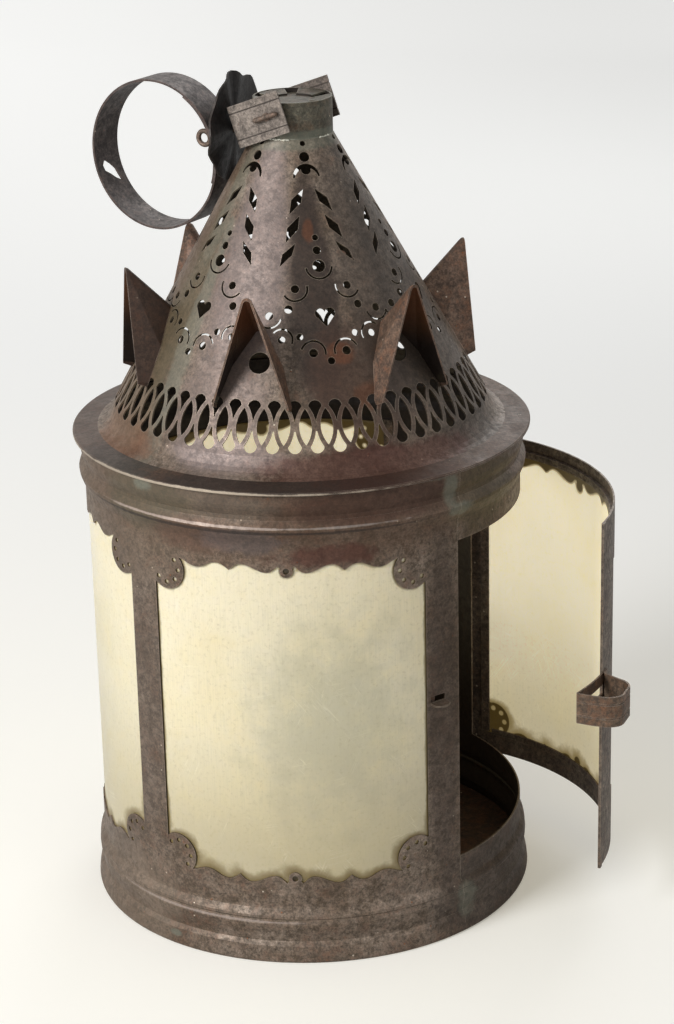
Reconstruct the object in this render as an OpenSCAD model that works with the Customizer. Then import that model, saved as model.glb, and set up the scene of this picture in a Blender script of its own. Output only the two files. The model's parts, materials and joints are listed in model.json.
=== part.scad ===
// Pierced sheet-iron candle lantern with horn windows, a side door and a ring handle.
// Z is up. The origin is the centre of the base on the surface that the lantern stands on.
// Azimuths are in degrees, from the front (-Y) towards the right (+X).

/* [Body wall] */
// Outer radius of the wall sheet
wall_r = 105.2; // [95:0.1:120]
// Thickness of every iron sheet
sheet = 0.8; // [0.5:0.1:1]
// Height of the wall sheet, from the rest face to the brim
wall_h = 236.6; // [232:0.1:260]
// How far the base rim stands out of the wall
rim_proud = 3.7; // [2.5:0.1:5]
// Radius of the wire in the base rim
rim_wire_r = 0.8; // [0.5:0.1:1.2]
// Height of the crest of the lower bead
low_bead_z = 19.8; // [18:0.1:21]
// Height of the crest of the upper bead
high_bead_z = 218.5; // [216:0.1:222]
// How far both beads stand out of the wall
bead_proud = 2.6; // [1.5:0.1:3.5]
// How far the plain band under the brim stands out of the wall
band_proud = 1.7; // [1:0.1:2.5]
// Height of the floor plate above the rest face
floor_z = 4.2; // [3.8:0.1:8]

/* [Windows] */
// Width of each body window, in degrees
window_a = 72.4; // [66:0.1:73]
// Width of the stiles between the windows, in degrees
stile_a = 9.3; // [7:0.1:10]
// Width of the stile between the front window and the doorway, in degrees
latch_stile_a = 10.6; // [9.5:0.1:13]
// Lowest line of the scalloped borders
window_low_z = 40.2; // [39.8:0.1:46]
// Highest line of the scalloped borders
window_high_z = 201; // [190:0.1:204]
// Radius of the pierced corner rosettes
rosette_r = 10; // [8.5:0.1:11]
// Radius of each small hole in the rosettes
rosette_hole_r = 1.2; // [0.8:0.1:1.5]
// Thickness of the horn panes
horn_t = 0.8; // [0.5:0.1:1]

/* [Doorway] */
// Azimuth of the doorway's edge on the latch side
doorway_a0 = 41.9; // [41:0.1:43]
// Azimuth of the doorway's edge on the hinge side
doorway_a1 = 125.3; // [124.5:0.1:126]
// Height of the top of the sill
sill_z = 39; // [36:0.1:39.5]
// Height of the underside of the lintel
lintel_z = 200.8; // [198:0.1:203]

/* [Door] */
// Gap between the wall and the closed door
door_gap = 0.8; // [0.6:0.1:1.2]
// Angle that the closed door laps over the doorway's edge on the latch side
door_lap_a = 4.2; // [3.4:0.1:4.7]
// Angle from the doorway's edge on the hinge side to the hinge
hinge_past_a = 4.3; // [3.8:0.1:5.5]
// Height of the bottom edge of the door
door_low_z = 28.7; // [28.4:0.1:32]
// Height of the top edge of the door
door_high_z = 206; // [204:0.1:208]
// Width of the door's window, in degrees
door_window_a = 73.2; // [68:0.1:74]
// Angle from the door's window to the doorway's edge on the hinge side
door_frame_a = 1; // [0.6:0.1:2]
// Highest line of the door's scalloped border
door_window_high_z = 195.6; // [188:0.1:197]
// Angle that the door stands open at rest
door_open = 27.2; // [0:0.1:60]
// Outer radius of the hinge knuckles
knuckle_r = 2.5; // [2:0.1:3]
// Radius of the hinge pins
hinge_pin_r = 1.2; // [0.8:0.1:1.4]
// Height of each hinge
hinge_h = 26; // [20:0.5:36]
// Height of the middle of the lower hinge
low_hinge_z = 66; // [60:0.5:80]
// Height of the middle of the upper hinge
high_hinge_z = 172; // [150:0.5:180]

/* [Latch] */
// Height of the middle of the hasp strap and of the latch tongue
latch_z = 124; // [100:0.5:150]
// Height of the hasp strap
hasp_h = 15; // [12:0.5:20]
// Reach of the hasp past the door's edge
hasp_l = 26.3; // [24:0.1:30]
// How far the hasp's finger loop stands out
hasp_d = 17; // [14:0.1:20]
// How far the latch tongue stands out of the wall
tongue_l = 6; // [4:0.1:7]
// Half of the tongue's width, in degrees
tongue_a = 2.3; // [1.5:0.1:2.4]

/* [Brim and roof] */
// How far the brim stands out of the wall
brim_out = 4.8; // [4.3:0.1:10]
// Rise of the brim for each unit inwards
brim_slope = 0.115; // [0.05:0.005:0.2]
// Width of the folded hem of the brim
brim_hem = 2.6; // [2:0.1:2.8]
// Distance of the roof's foot from the brim's edge
foot_inset = 12; // [10:0.1:14]
// How far the roof's foot flares out of the cone
roof_flare = 9.2; // [8:0.1:11]
// Height of that place above the wall
roof_rise = 13.4; // [12:0.1:15]
// Half of the angle at the top of the roof cone
roof_half = 29.07; // [28:0.01:30]
// Radius of the collar that tops the roof
neck_r = 18.5; // [17:0.1:20]
// Height of the collar above its joint with the roof
neck_h = 17; // [15.5:0.1:20]
// Height of the gallery's middle above the wall
gallery_rise = 22.8; // [21:0.1:24]
// Number of lens-shaped openings in the gallery
gallery_count = 54; // [48:1:54]
// Azimuth of the first lens-shaped opening
gallery_a = 1.2; // [0:0.1:6.6]
// Height of each lens-shaped opening
lens_h = 17; // [15:0.1:17.5]
// Width of each lens-shaped opening
lens_w = 5.7; // [4.5:0.1:6]
// Width of the bars between the openings
bar_w = 1.9; // [1.6:0.1:2.2]
// Azimuth of the first hood
hood_a = -16.2; // [-18:0.1:-14]
// Azimuth of the first pierced panel
panel_a = 12; // [10:0.1:14]
// How far the hoods' feet lie above the wall
hood_foot_rise = 32.5; // [31:0.1:34]
// How far the hoods' tips rise above the wall
hood_rise = 79.6; // [70:0.1:84]
// How far the hoods' tips stand out of the roof
hood_out = 30.4; // [27:0.1:33]
// Half of the width of a hood's mouth at its foot
hood_foot_w = 18; // [15:0.1:19]
// Radius of the vent hole inside each hood
vent_r = 5; // [4:0.1:6]

/* [Handle] */
// Azimuth towards which the handle lies
handle_a = -123.4; // [-130:0.1:-115]
// Droop of the handle below the level, at rest
handle_droop = 20.3; // [18:0.1:24]
// Height of the pivot above the collar's joint
pivot_rise = 10.9; // [10:0.1:12]
// Distance of the yoke's arms from the middle plane
yoke_y = 21; // [20.6:0.1:24]
// Height of the yoke strap
strap_h = 19.6; // [16:0.1:21]
// Length of the arms behind the pivot
arm_back = 9.4; // [8.6:0.1:13]
// Length of the arms before the pivot
arm_front = 20; // [19:0.1:24]
// Distance of the yoke's web from the pivot
web_w = 28.8; // [28.5:0.1:30]
// Half of the width of the flat web
web_half = 5; // [4:0.1:7]
// Backward lean of the heat shield
shield_tilt = 22; // [10:0.5:30]
// Sideways turn of the heat shield
shield_turn = 13; // [0:0.5:16]
// Radius of the split pins
split_pin_r = 1.9; // [1.5:0.1:2.2]
// Radius of the ruffled heat shield
shield_r = 30; // [26:0.1:31]
// How far the lower part of the shield is bent away from the roof
shield_curl = 3; // [2.5:0.1:6]
// Height of the ruffles at the shield's rim
ruffle = 1.3; // [0:0.1:1.6]
// Outer radius of the ring handle
ring_r = 36.3; // [34:0.1:36.8]
// Width of the ring's band
ring_w = 19; // [15:0.1:20]
// Thickness of the ring's band
ring_t = 1; // [0.8:0.1:1.2]
// Distance of the ring's centre from the pivot
ring_dist = 79.1; // [78.8:0.1:82]

/* [Inside] */
// Radius of the drip pan
pan_r = 34; // [28:0.5:45]
// Bore radius of the candle socket
socket_r = 11; // [9:0.1:13]
// Depth of the candle socket
socket_h = 30; // [22:0.5:40]

/* [Hidden] */
$fn = 96;

// Clearances
seat_gap = 0.05;
run_gap = 0.06;
part_gap = 0.4;
cut = 6;

// Colours
iron = [0.36, 0.30, 0.27];
rusty = [0.42, 0.25, 0.18];
horn = [0.88, 0.86, 0.72, 0.8];
grey_iron = [0.45, 0.43, 0.41];

// Derived places
mm_per_deg = wall_r * PI / 180;
wall_in = wall_r - sheet;
brim_r = wall_r + brim_out;
roof_foot_r = brim_r - foot_inset;
roof_r = roof_foot_r - roof_flare;
door_a0 = doorway_a0 - door_lap_a;
hinge_a = doorway_a1 + hinge_past_a;
door_window_mid = doorway_a1 - door_frame_a - door_window_a / 2;
rim_roll_r = rim_wire_r + sheet;
rim_mid_r = wall_r + rim_proud - rim_roll_r;
rim_mid_z = rim_roll_r - 0.15;
low_bead_end = door_low_z - part_gap;
door_in = wall_r + door_gap;
door_out = door_in + sheet;
hinge_r = wall_r + knuckle_r + part_gap;
wall_a0 = doorway_a1 - 360;
front_mid = doorway_a0 - latch_stile_a - window_a / 2;
window_mids = [for (i = [0 : 2]) front_mid - i * (window_a + stile_a)];
brim_z = wall_h + sheet + seat_gap - (brim_r - wall_r - band_proud + sheet / 2) * brim_slope;
roof_z = wall_h + roof_rise;
roof_tan = tan(roof_half);
roof_cut = sheet / cos(roof_half);
joint_z = roof_z + (roof_r - neck_r) / roof_tan;
neck_z = joint_z + neck_h;
pivot_z = joint_z + pivot_rise;
hood_z = wall_h + hood_rise;
hood_foot_z = wall_h + hood_foot_rise;
hood_tip_r = roof_r - (hood_z - roof_z) * roof_tan + hood_out;
knuckle_h = (hinge_h - 2 * part_gap) / 3;
tab_drop = 1.2;
cap_z = neck_z - tab_drop - 2 * sheet - seat_gap;
shield_nx = cos(shield_turn) * cos(shield_tilt);
shield_w = web_w + 1.5 * sheet + 0.3
  + (web_half * sin(shield_turn) * cos(shield_tilt) + strap_h / 2 * sin(shield_tilt)) / shield_nx;
band_w = ring_dist - ring_r;
eye_w = band_w + 11.2;
eye_r = 3.3;
eye_wire_r = 1.2;

// Radii and heights on the roof and the brim
function roof_at(z) = roof_r - (z - roof_z) * roof_tan;
function brim_at(r) = brim_z + (brim_r - r) * brim_slope;

// A smooth step from 0 to 1
function ease(t) = (1 - cos(180 * t)) / 2;

// Outer line of the wall, from the rim up to the brim
function wall_line() = concat(
  [[rim_mid_r + rim_roll_r, rim_mid_z],
   [wall_r + rim_proud - 0.3, 4.4],
   [wall_r + bead_proud, 8.4],
   [wall_r + bead_proud / 2, 10.6]],
  [for (i = [1 : 5]) let (t = i / 5)
    [wall_r + bead_proud * (1 + ease(t)) / 2, 10.6 + (low_bead_z - 10.6) * t]],
  [[wall_r + bead_proud * 0.72, low_bead_z + 2.2],
   [wall_r + bead_proud * 0.9, low_bead_z + 3.2]],
  [for (i = [1 : 5]) let (t = i / 5, z0 = low_bead_z + 3.2)
    [wall_r + bead_proud * 0.9 * (1 - ease(t)), z0 + (low_bead_end - z0) * t]],
  [for (i = [0 : 5]) let (t = i / 5)
    [wall_r + bead_proud * ease(t), high_bead_z - 8.5 * (1 - t)]],
  [[wall_r + bead_proud * 0.75, high_bead_z + 1.8],
   [wall_r + bead_proud * 0.15, high_bead_z + 4],
   [wall_r + bead_proud * 0.1, high_bead_z + 6],
   [wall_r + band_proud * 0.8, high_bead_z + 9],
   [wall_r + band_proud, high_bead_z + 11],
   [wall_r + band_proud, wall_h]]);

// A line moved inwards by the sheet's thickness
function inner(line) = [for (i = [len(line) - 1 : -1 : 0]) [line[i][0] - sheet, line[i][1]]];

// Turns things to an azimuth: X points outwards there and Y to the right
module at(a) {
  rotate([0, 0, a - 90])
    children();
}

// Puts a flat outline on the outer face of a drum, seen from outside
module on_drum(a, r, z) {
  at(a)
    translate([r, 0, z])
      rotate([90, 0, 90])
        children();
}

// Puts a flat outline on the roof, with its Y up the slope
module on_roof(a, z) {
  at(a)
    translate([roof_at(z), 0, z])
      rotate([0, -roof_half, 0])
        rotate([90, 0, 90])
          children();
}

// Moves the closed door and what it carries to its place at rest
module open_door(angle = door_open) {
  at(hinge_a)
    translate([hinge_r, 0, 0])
      rotate([0, 0, angle])
        translate([-hinge_r, 0, 0])
          rotate([0, 0, 90 - hinge_a])
            children();
}

// Part of a drum between two azimuths
module arc_wall(r0, r1, a0, a1, z0, z1) {
  at(a0)
    rotate_extrude(angle = a1 - a0, $fn = 180)
      translate([r0, z0])
        square([r1 - r0, z1 - z0]);
}

// The same seen from above, as a flat outline
module arc_outline(r0, r1, a0, a1) {
  reach = 2 * r1;
  intersection() {
    difference() {
      circle(r1, $fn = 180);
      circle(r0, $fn = 180);
    }
    at(a0)
      polygon([[0, 0], [reach, 0], [reach * cos(a1 - a0), reach * sin(a1 - a0)]]);
  }
}

// The wall's sheet between two azimuths, cut off at two heights
module wall_sheet(a0, a1, z0, z1) {
  at(a0)
    rotate_extrude(angle = a1 - a0, $fn = 180)
      intersection() {
        union() {
          polygon(concat(wall_line(), inner(wall_line())));
          translate([rim_mid_r, rim_mid_z])
            difference() {
              circle(rim_roll_r, $fn = 40);
              circle(rim_wire_r, $fn = 40);
            }
        }
        translate([wall_r - 5, z0])
          square([15, z1 - z0]);
      }
}

// Places of one half of a border: angle from the window's middle as a share of its half, depth
// below the border's highest line. 1 marks a smooth turn and 0 a sharp point.
border_keys = [
  [0.058, 0.3, 0], [0.135, 3.8, 1], [0.315, 0, 1], [0.4, 3.4, 0],
  [0.495, 0.4, 1], [0.646, 3.8, 1], [0.765, 1, 0]];
ring_lobe_r = 3.1;
ring_lobe_d = 2.9;
rosette_side = 6.6;
rosette_d = 7.6;

// Depth between two places of the border: an eased wave at smooth turns, quick at sharp points
function wave(p, q, t) =
  p[2] == 1 && q[2] == 1 ? p[1] + (q[1] - p[1]) * ease(t)
  : p[2] == 1 ? p[1] + (q[1] - p[1]) * (1 - cos(90 * t))
  : q[2] == 1 ? p[1] + (q[1] - p[1]) * sin(90 * t)
  : p[1] + (q[1] - p[1]) * t;

// Outline of one half of a border, as arc length from the middle and depth
function half_border(half) = concat(
  [for (b = [270 : 24 : 390]) [ring_lobe_r * cos(b), ring_lobe_d - ring_lobe_r * sin(b)]],
  [for (i = [0 : len(border_keys) - 2], j = [0 : 4])
    let (p = border_keys[i], q = border_keys[i + 1], t = j / 5)
    [(p[0] + (q[0] - p[0]) * t) * half, wave(p, q, t)]],
  let (mid = half - rosette_side, b0 = 180 - asin((rosette_d - 1) / rosette_r),
       b1 = 360 - acos(rosette_side / rosette_r))
  [for (i = [0 : 12]) let (b = b0 + (b1 - b0) * i / 12)
    [mid + rosette_r * cos(b), rosette_d - rosette_r * sin(b)]]);

// Outline of a window on the flat plane that touches the drum at the window's middle
function window_outline(width, r, z0, z1) =
  let (half = width / 2 * r * PI / 180, line = half_border(half), n = len(line))
  [for (p = concat(
      [for (p = line) [p[0], z1 - p[1]]],
      [for (i = [n - 1 : -1 : 0]) [line[i][0], z0 + line[i][1]]],
      [for (i = [1 : n - 1]) [-line[i][0], z0 + line[i][1]]],
      [for (i = [n - 1 : -1 : 1]) [-line[i][0], z1 - line[i][1]]]))
    [r * sin(p[0] / r * 180 / PI), p[1]]];

// What a window takes out of a sheet
module window_cut(mid, width, r, z0, z1) {
  half = width / 2 * r * PI / 180;
  on_drum(mid, r * 0.6, 0)
    linear_extrude(r * 0.6)
      polygon(window_outline(width, r, z0, z1));
  for (side = [-1, 1], top = [0, 1]) {
    a = mid + side * (half - rosette_side) / r * 180 / PI;
    z = top == 1 ? z1 - rosette_d : z0 + rosette_d;
    for (i = [-2 : 2])
      on_drum(a, r - cut / 2, z)
        rotate([0, 0, atan2(top == 1 ? -1 : 1, -side) + i * 45])
          translate([0.67 * rosette_r, 0, 0])
            cylinder(r = rosette_hole_r, h = cut, $fn = 20);
  }
  for (z = [z0 + ring_lobe_d, z1 - ring_lobe_d])
    on_drum(mid, r - cut / 2, z)
      cylinder(r = 1.5, h = cut, $fn = 24);
}

module base_floor() {
  color(iron)
    translate([0, 0, floor_z])
      cylinder(r = wall_r + bead_proud - sheet - seat_gap, h = sheet, $fn = 180);
}

module base_wire() {
  color(grey_iron)
    rotate_extrude($fn = 180)
      translate([rim_mid_r, rim_mid_z])
        circle(rim_wire_r - seat_gap, $fn = 24);
}

// The wall sheet with its three windows and the half-moon latch tongue
module window_wall() {
  color(iron) {
    difference() {
      wall_sheet(wall_a0, doorway_a0, 0, wall_h);
      for (mid = window_mids)
        window_cut(mid, window_a, wall_r, window_low_z, window_high_z);
      on_drum(door_a0 - 0.7 - tongue_a, wall_r - cut / 2, latch_z)
        translate([-tongue_a * mm_per_deg, 0.2, 0])
          cube([2 * tongue_a * mm_per_deg, 3, cut]);
    }
    tongue_half = tongue_a * mm_per_deg;
    at(door_a0 - 0.7 - tongue_a)
      translate([wall_in + sheet / 2, 0, latch_z - sheet])
        linear_extrude(sheet)
          intersection() {
            translate([tongue_l + sheet / 2 - tongue_half * 1.3, 0])
              circle(tongue_half * 1.3, $fn = 48);
            translate([0, -tongue_half])
              square([tongue_l + sheet, 2 * tongue_half]);
          }
  }
}

module sill_strip() {
  color(iron)
    wall_sheet(doorway_a0, doorway_a1, 0, sill_z);
}

module lintel_strip() {
  color(iron)
    wall_sheet(doorway_a0, doorway_a1, lintel_z, wall_h);
}

pane_over = 1.4;
pane_lift = 1.2;

module pane(mid) {
  color(horn)
    arc_wall(wall_in - seat_gap - horn_t, wall_in - seat_gap,
      mid - window_a / 2 - pane_over, mid + window_a / 2 + pane_over,
      window_low_z - pane_lift, window_high_z + pane_lift);
}

// Upright strip with a foot on the sheet at radius r_out and a lip over the side of a pane. The foot
// lies between azimuths a0 and a1, and the lip reaches from it to lip_a.
module upright_strip(r_lip, r_out, a0, a1, lip_a, z0, z1) {
  past = 1;
  difference() {
    arc_wall(r_lip - sheet, r_out, min(a0, lip_a), max(a1, lip_a), z0, z1);
    arc_wall(r_lip, r_out + past, lip_a < a0 ? lip_a - past : a1, lip_a < a0 ? a0 : lip_a + past,
      z0 - past, z1 + past);
  }
}

// Folded strips beside and under a pane, each with a foot on the wall and a lip over the pane
module pane_strips(mid) {
  foot = 1.2;
  lip = 3;
  a_edge = window_a / 2 + pane_over + 0.15;
  r_lip = wall_in - horn_t - 2 * seat_gap;
  r_out = wall_in - seat_gap;
  color(iron) {
    upright_strip(r_lip, r_out, mid - a_edge - foot, mid - a_edge, mid - a_edge + lip / mm_per_deg,
      window_low_z - 4, window_high_z + 3);
    upright_strip(r_lip, r_out, mid + a_edge, mid + a_edge + foot, mid + a_edge - lip / mm_per_deg,
      window_low_z - 4, window_high_z + 3);
    arc_wall(r_lip - sheet, r_out, mid - window_a / 2 + 4, mid + window_a / 2 - 4,
      window_low_z - pane_lift - 1.6, window_low_z - pane_lift - seat_gap);
  }
}

module drip_pan() {
  color(iron)
    translate([0, 0, floor_z + sheet])
      rotate_extrude()
        polygon([[0, 0], [pan_r - 6, 0], [pan_r, 7], [pan_r, 7 + sheet],
          [pan_r - 1, 7 + sheet], [pan_r - 6.6, sheet], [0, sheet]]);
}

module candle_socket() {
  color(iron)
    translate([0, 0, floor_z + 2 * sheet])
      difference() {
        cylinder(r = socket_r + sheet, h = socket_h);
        translate([0, 0, sheet])
          cylinder(r = socket_r, h = socket_h);
      }
}

module brim_ring() {
  hem_r = brim_r - brim_hem;
  inner_r = roof_foot_r - 3.4;
  color(rusty)
    rotate_extrude($fn = 180)
      polygon([
        [inner_r, brim_at(inner_r) - sheet], [inner_r, brim_at(inner_r)],
        [brim_r - 0.6, brim_at(brim_r - 0.6)], [brim_r, brim_at(brim_r) - 0.5],
        [brim_r, brim_at(brim_r) - 2 * sheet + 0.4], [brim_r - 0.5, brim_at(brim_r) - 2 * sheet],
        [hem_r, brim_at(hem_r) - 2 * sheet], [hem_r, brim_at(hem_r) - sheet]]);
}

// Outer line of the roof, from its foot up into the collar
function roof_line() =
  let (foot_z = brim_at(roof_foot_r), drop = roof_z - foot_z, run = roof_foot_r - roof_r)
  concat(
    [for (i = [0 : 6]) let (t = i / 6, c = 1 - t)
      [roof_r + run * (c * c * 0.62 + c * 0.38), foot_z + drop * (t * 0.42 + t * t * 0.58)]],
    [[neck_r - 2.6, roof_z + (roof_r - neck_r + 2.6) / roof_tan]]);

module lens() {
  r = (lens_h * lens_h / 4 + lens_w * lens_w / 4) / lens_w;
  intersection() {
    translate([r - lens_w / 2, 0])
      circle(r, $fn = 96);
    translate([lens_w / 2 - r, 0])
      circle(r, $fn = 96);
  }
}

// Three-cornered opening with a round end, between two lens-shaped ones
module gallery_corner(pitch) {
  r = (lens_h * lens_h / 4 + lens_w * lens_w / 4) / lens_w;
  cap = lens_w * 0.54;
  cap_y = lens_h / 2 + 0.6;
  difference() {
    union() {
      translate([0, cap_y])
        circle(cap, $fn = 40);
      translate([-cap, 2])
        square([2 * cap, cap_y - 2]);
    }
    for (side = [-1, 1])
      translate([side * (pitch / 2 + r - lens_w / 2), 0])
        circle(r + bar_w, $fn = 96);
  }
}

module gallery_cut() {
  z = wall_h + gallery_rise;
  step = 360 / gallery_count;
  pitch = roof_at(z) * step * PI / 180;
  for (i = [0 : gallery_count - 1]) {
    on_roof(gallery_a + i * step, z)
      translate([0, 0, -cut / 2])
        linear_extrude(cut)
          lens();
    on_roof(gallery_a + (i + 0.5) * step, z)
      translate([0, 0, -cut / 2])
        linear_extrude(cut) {
          gallery_corner(pitch * 0.96);
          mirror([0, 1])
            gallery_corner(pitch * 1.02);
        }
  }
}

// A slit along part of a circle
module slit(r, a0, a1) {
  width = 0.9;
  difference() {
    circle(r + width / 2, $fn = 48);
    circle(r - width / 2, $fn = 48);
    rotate((a0 + a1) / 2 + 180)
      polygon([[0, 0], for (b = [-1 : 0.25 : 1])
        2 * r * [cos(b * (180 - (a1 - a0) / 2)), sin(b * (180 - (a1 - a0) / 2))]]);
  }
}

// The cone's height above the wall that the panels' heights are given for
panel_span = 139.9;
arch_rise = 124.4;
eye_rise = 87.6;
heart_rise = 67.1;
// Places of the piercings in one half of a panel: angle from its middle and height above the wall
panel_holes = [[16.5, 70.4, 1.9], [11.8, 59.1, 1.6]];
middle_holes = [
  [138.3, 1.3], [132.7, 2.4], [99.3, 1.4], [94, 1.9], [eye_rise, 2.9], [48.8, 1.7]];
// Angle, height, hole radius, slit radius and the slit's two ends
panel_eyes = [
  [13.4, 78.6, 1.9, 5.6, 165, 330], [25.2, 67.6, 1.9, 5.6, 190, 340],
  [19.2, 58, 1.7, 5, 40, 200], [6.6, 52.4, 2, 5.6, 20, 190]];
lozenges = [
  [[5, 119.6], [15.3, 115.2], [16.7, 109.2], [7.5, 114]],
  [[9.3, 108.5], [18.1, 103.6], [18.7, 97.6], [10.8, 102.9]],
  [[12.7, 97.3], [20.5, 92.8], [21.7, 87.7], [14.8, 92.5]]];

// Height of a panel's place on the cone
function panel_z(rise) = wall_h + rise * (joint_z - wall_h) / panel_span;

// A place of a panel as a point on the plane that touches the roof at an azimuth and height
function roof_flat(p, a, z) =
  [sin(p[0] - a) * roof_at(panel_z(p[1])), (panel_z(p[1]) - z) / cos(roof_half)];

module heart() {
  for (side = [-1, 1])
    translate([side * 2.3, 1.4])
      circle(2.4, $fn = 24);
  polygon([[-4.5, 0.4], [-2.3, 2], [2.3, 2], [4.5, 0.4], [0, -5]]);
}

// Half-round slit that widens upwards into a round hole
module arch() {
  outer_r = 6.3;
  difference() {
    circle(outer_r, $fn = 48);
    translate([-2 * outer_r, -2 * outer_r])
      square([4 * outer_r, 2 * outer_r]);
    translate([0, -1.3])
      circle(5.6, $fn = 48);
  }
  translate([0, 3.4])
    circle(2.3, $fn = 32);
}

module panel_cut(mid) {
  for (h = middle_holes)
    on_roof(mid, panel_z(h[0]))
      translate([0, 0, -cut / 2])
        cylinder(r = h[1], h = cut, $fn = 24);
  on_roof(mid, panel_z(arch_rise))
    translate([0, 0, -cut / 2])
      linear_extrude(cut)
        arch();
  on_roof(mid, panel_z(eye_rise))
    translate([0, 0, -cut / 2])
      linear_extrude(cut)
        slit(6, 185, 355);
  on_roof(mid, panel_z(heart_rise))
    translate([0, 0, -cut / 2])
      linear_extrude(cut)
        heart();
  for (side = [-1, 1]) {
    for (h = panel_holes)
      on_roof(mid + side * h[0], panel_z(h[1]))
        translate([0, 0, -cut / 2])
          cylinder(r = h[2], h = cut, $fn = 24);
    for (e = panel_eyes)
      on_roof(mid + side * e[0], panel_z(e[1]))
        mirror([side < 0 ? 1 : 0, 0])
          translate([0, 0, -cut / 2]) {
            cylinder(r = e[2], h = cut, $fn = 24);
            linear_extrude(cut)
              slit(e[3], e[4], e[5]);
          }
    for (q = lozenges) {
      a = (q[0][0] + q[2][0]) / 2;
      z = panel_z((q[0][1] + q[2][1]) / 2);
      on_roof(mid + side * a, z)
        mirror([side < 0 ? 1 : 0, 0])
          translate([0, 0, -cut / 2])
            linear_extrude(cut)
              polygon([for (p = q) roof_flat(p, a, z)]);
    }
  }
}

// Turn of each hood from its even place, and how much wider its mouth is than the others'
hood_turns = [0, -4.3, 0, 0, -4, 0];
hood_wider = [0, 2, 0, 0, 0, 0];
function hood_mid(i) = hood_a + i * 60 + hood_turns[i];

module roof_cone() {
  color(iron)
    difference() {
      rotate_extrude($fn = 180)
        polygon(concat(roof_line(),
          [for (i = [len(roof_line()) - 1 : -1 : 1]) roof_line()[i] - [roof_cut, 0]],
          [[roof_foot_r - 2, brim_at(roof_foot_r - 2)]]));
      gallery_cut();
      for (i = [0 : 5])
        panel_cut(panel_a + i * 60);
      for (i = [0 : 5])
        on_roof(hood_mid(i) + 0.8, hood_foot_z + 15.9)
          translate([0, 0, -cut / 2])
            cylinder(r = vent_r, h = cut);
    }
}

// Solid that a hood's sheet wraps round, from its foot to its tip
module hood_core(half, back, side) {
  foot_r = roof_at(hood_foot_z);
  belly_z = hood_foot_z + 23.5;
  hull() {
    translate([hood_tip_r - back, 0, hood_z - back])
      sphere(r = 2.6 - side, $fn = 16);
    translate([hood_tip_r + 6, 0, hood_z - back])
      sphere(r = 2.6 - side, $fn = 16);
    translate([roof_at(belly_z) - 4, 0, belly_z])
      sphere(r = 4 - side, $fn = 16);
    for (y = [-1, 1])
      translate([foot_r - 8, y * (half - side), hood_foot_z - 4])
        cube([14, 0.01, 0.01], center = true);
    for (y = [-1, 1])
      translate([foot_r + 8, y * (half - side), hood_foot_z])
        cube([0.01, 0.01, 0.01], center = true);
  }
}

module hood(i) {
  half = hood_foot_w + hood_wider[i];
  color(rusty)
    at(hood_mid(i))
      difference() {
        hood_core(half, 0, 0);
        hood_core(half, sheet * 0.6, sheet);
        // the open mouth
        translate([hood_tip_r, -2 * half, wall_h])
          cube([hood_out, 4 * half, 2 * hood_rise]);
        // the roof that the hood is soldered on
        translate([0, 0, roof_z])
          cylinder(r1 = roof_r + seat_gap, r2 = roof_at(joint_z) + seat_gap, h = joint_z - roof_z, $fn = 180);
      }
}

module neck_collar() {
  color(grey_iron)
    difference() {
      union() {
        translate([0, 0, joint_z - 2])
          difference() {
            cylinder(r = neck_r, h = neck_h + 2);
            translate([0, 0, -1])
              cylinder(r = neck_r - sheet, h = neck_h + 4);
          }
        for (a = [-24 : 72 : 300])
          at(a)
            rotate_extrude(angle = 50)
              translate([0, neck_z])
                polygon([[neck_r - sheet / 2, -0.1], [10.5, -tab_drop], [10.5, -tab_drop - sheet],
                  [neck_r - sheet / 2, -0.1 - sheet]]);
      }
      translate([0, 0, roof_z])
        cylinder(r1 = roof_r, r2 = roof_at(neck_z), h = neck_z - roof_z, $fn = 180);
      pivot_frame()
        rotate([90, 0, 0])
          cylinder(r = split_pin_r + seat_gap, h = 2 * yoke_y, center = true, $fn = 32);
    }
}

module neck_cap() {
  color(grey_iron)
    translate([0, 0, cap_z])
      cylinder(r = neck_r - sheet - seat_gap, h = sheet);
}

// The handle's frame: X runs from the pivot to the ring, Y along the pivot, Z across
module pivot_frame() {
  at(handle_a)
    translate([0, 0, pivot_z])
      rotate([0, handle_droop, 0])
        children();
}

// A split pin's shank along -Z and its two round legs, bent apart along X on the surface at Z = 0
module split_pin(shank, leg_l, leg_r) {
  translate([0, 0, -shank])
    cylinder(r = split_pin_r, h = shank + leg_r / 2, $fn = 32);
  translate([-leg_l, 0, leg_r])
    rotate([0, 90, 0])
      rotate_extrude($fn = 24)
        polygon([[0, 0], [0.7 * leg_r, 0.3 * leg_r], [leg_r, leg_r], [leg_r, 2 * leg_l - leg_r],
          [0.7 * leg_r, 2 * leg_l - 0.3 * leg_r], [0, 2 * leg_l]]);
}

module pivot_pin(side) {
  seat = yoke_y + sheet + 0.3;
  inside = neck_r - sheet - 2;
  color(grey_iron)
    pivot_frame()
      rotate([side * -90, 0, 0]) {
        translate([0, 0, seat])
          split_pin(seat - inside, 7, 1.25);
        translate([0, 0, inside - 2.2])
          rotate([0, 90, 0])
            rotate_extrude($fn = 48)
              translate([2.2, 0])
                circle(1, $fn = 24);
      }
}

// Points half way through a band along a path, moved sideways
function side_of(path, d) = [for (i = [0 : len(path) - 1])
  let (
    p = path[i],
    u = i > 0 ? unit(p - path[i - 1]) : unit(path[1] - p),
    v = i < len(path) - 1 ? unit(path[i + 1] - p) : u,
    m = unit(u + v),
    s = d / max(0.5, m * u))
  p + s * [-m[1], m[0]]];
function unit(v) = v / norm(v);
function rev(list) = [for (i = [len(list) - 1 : -1 : 0]) list[i]];

// A strip of sheet that follows a path seen from above
module ribbon(path, d0, d1) {
  polygon(concat(side_of(path, d0), rev(side_of(path, d1))));
}

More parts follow.
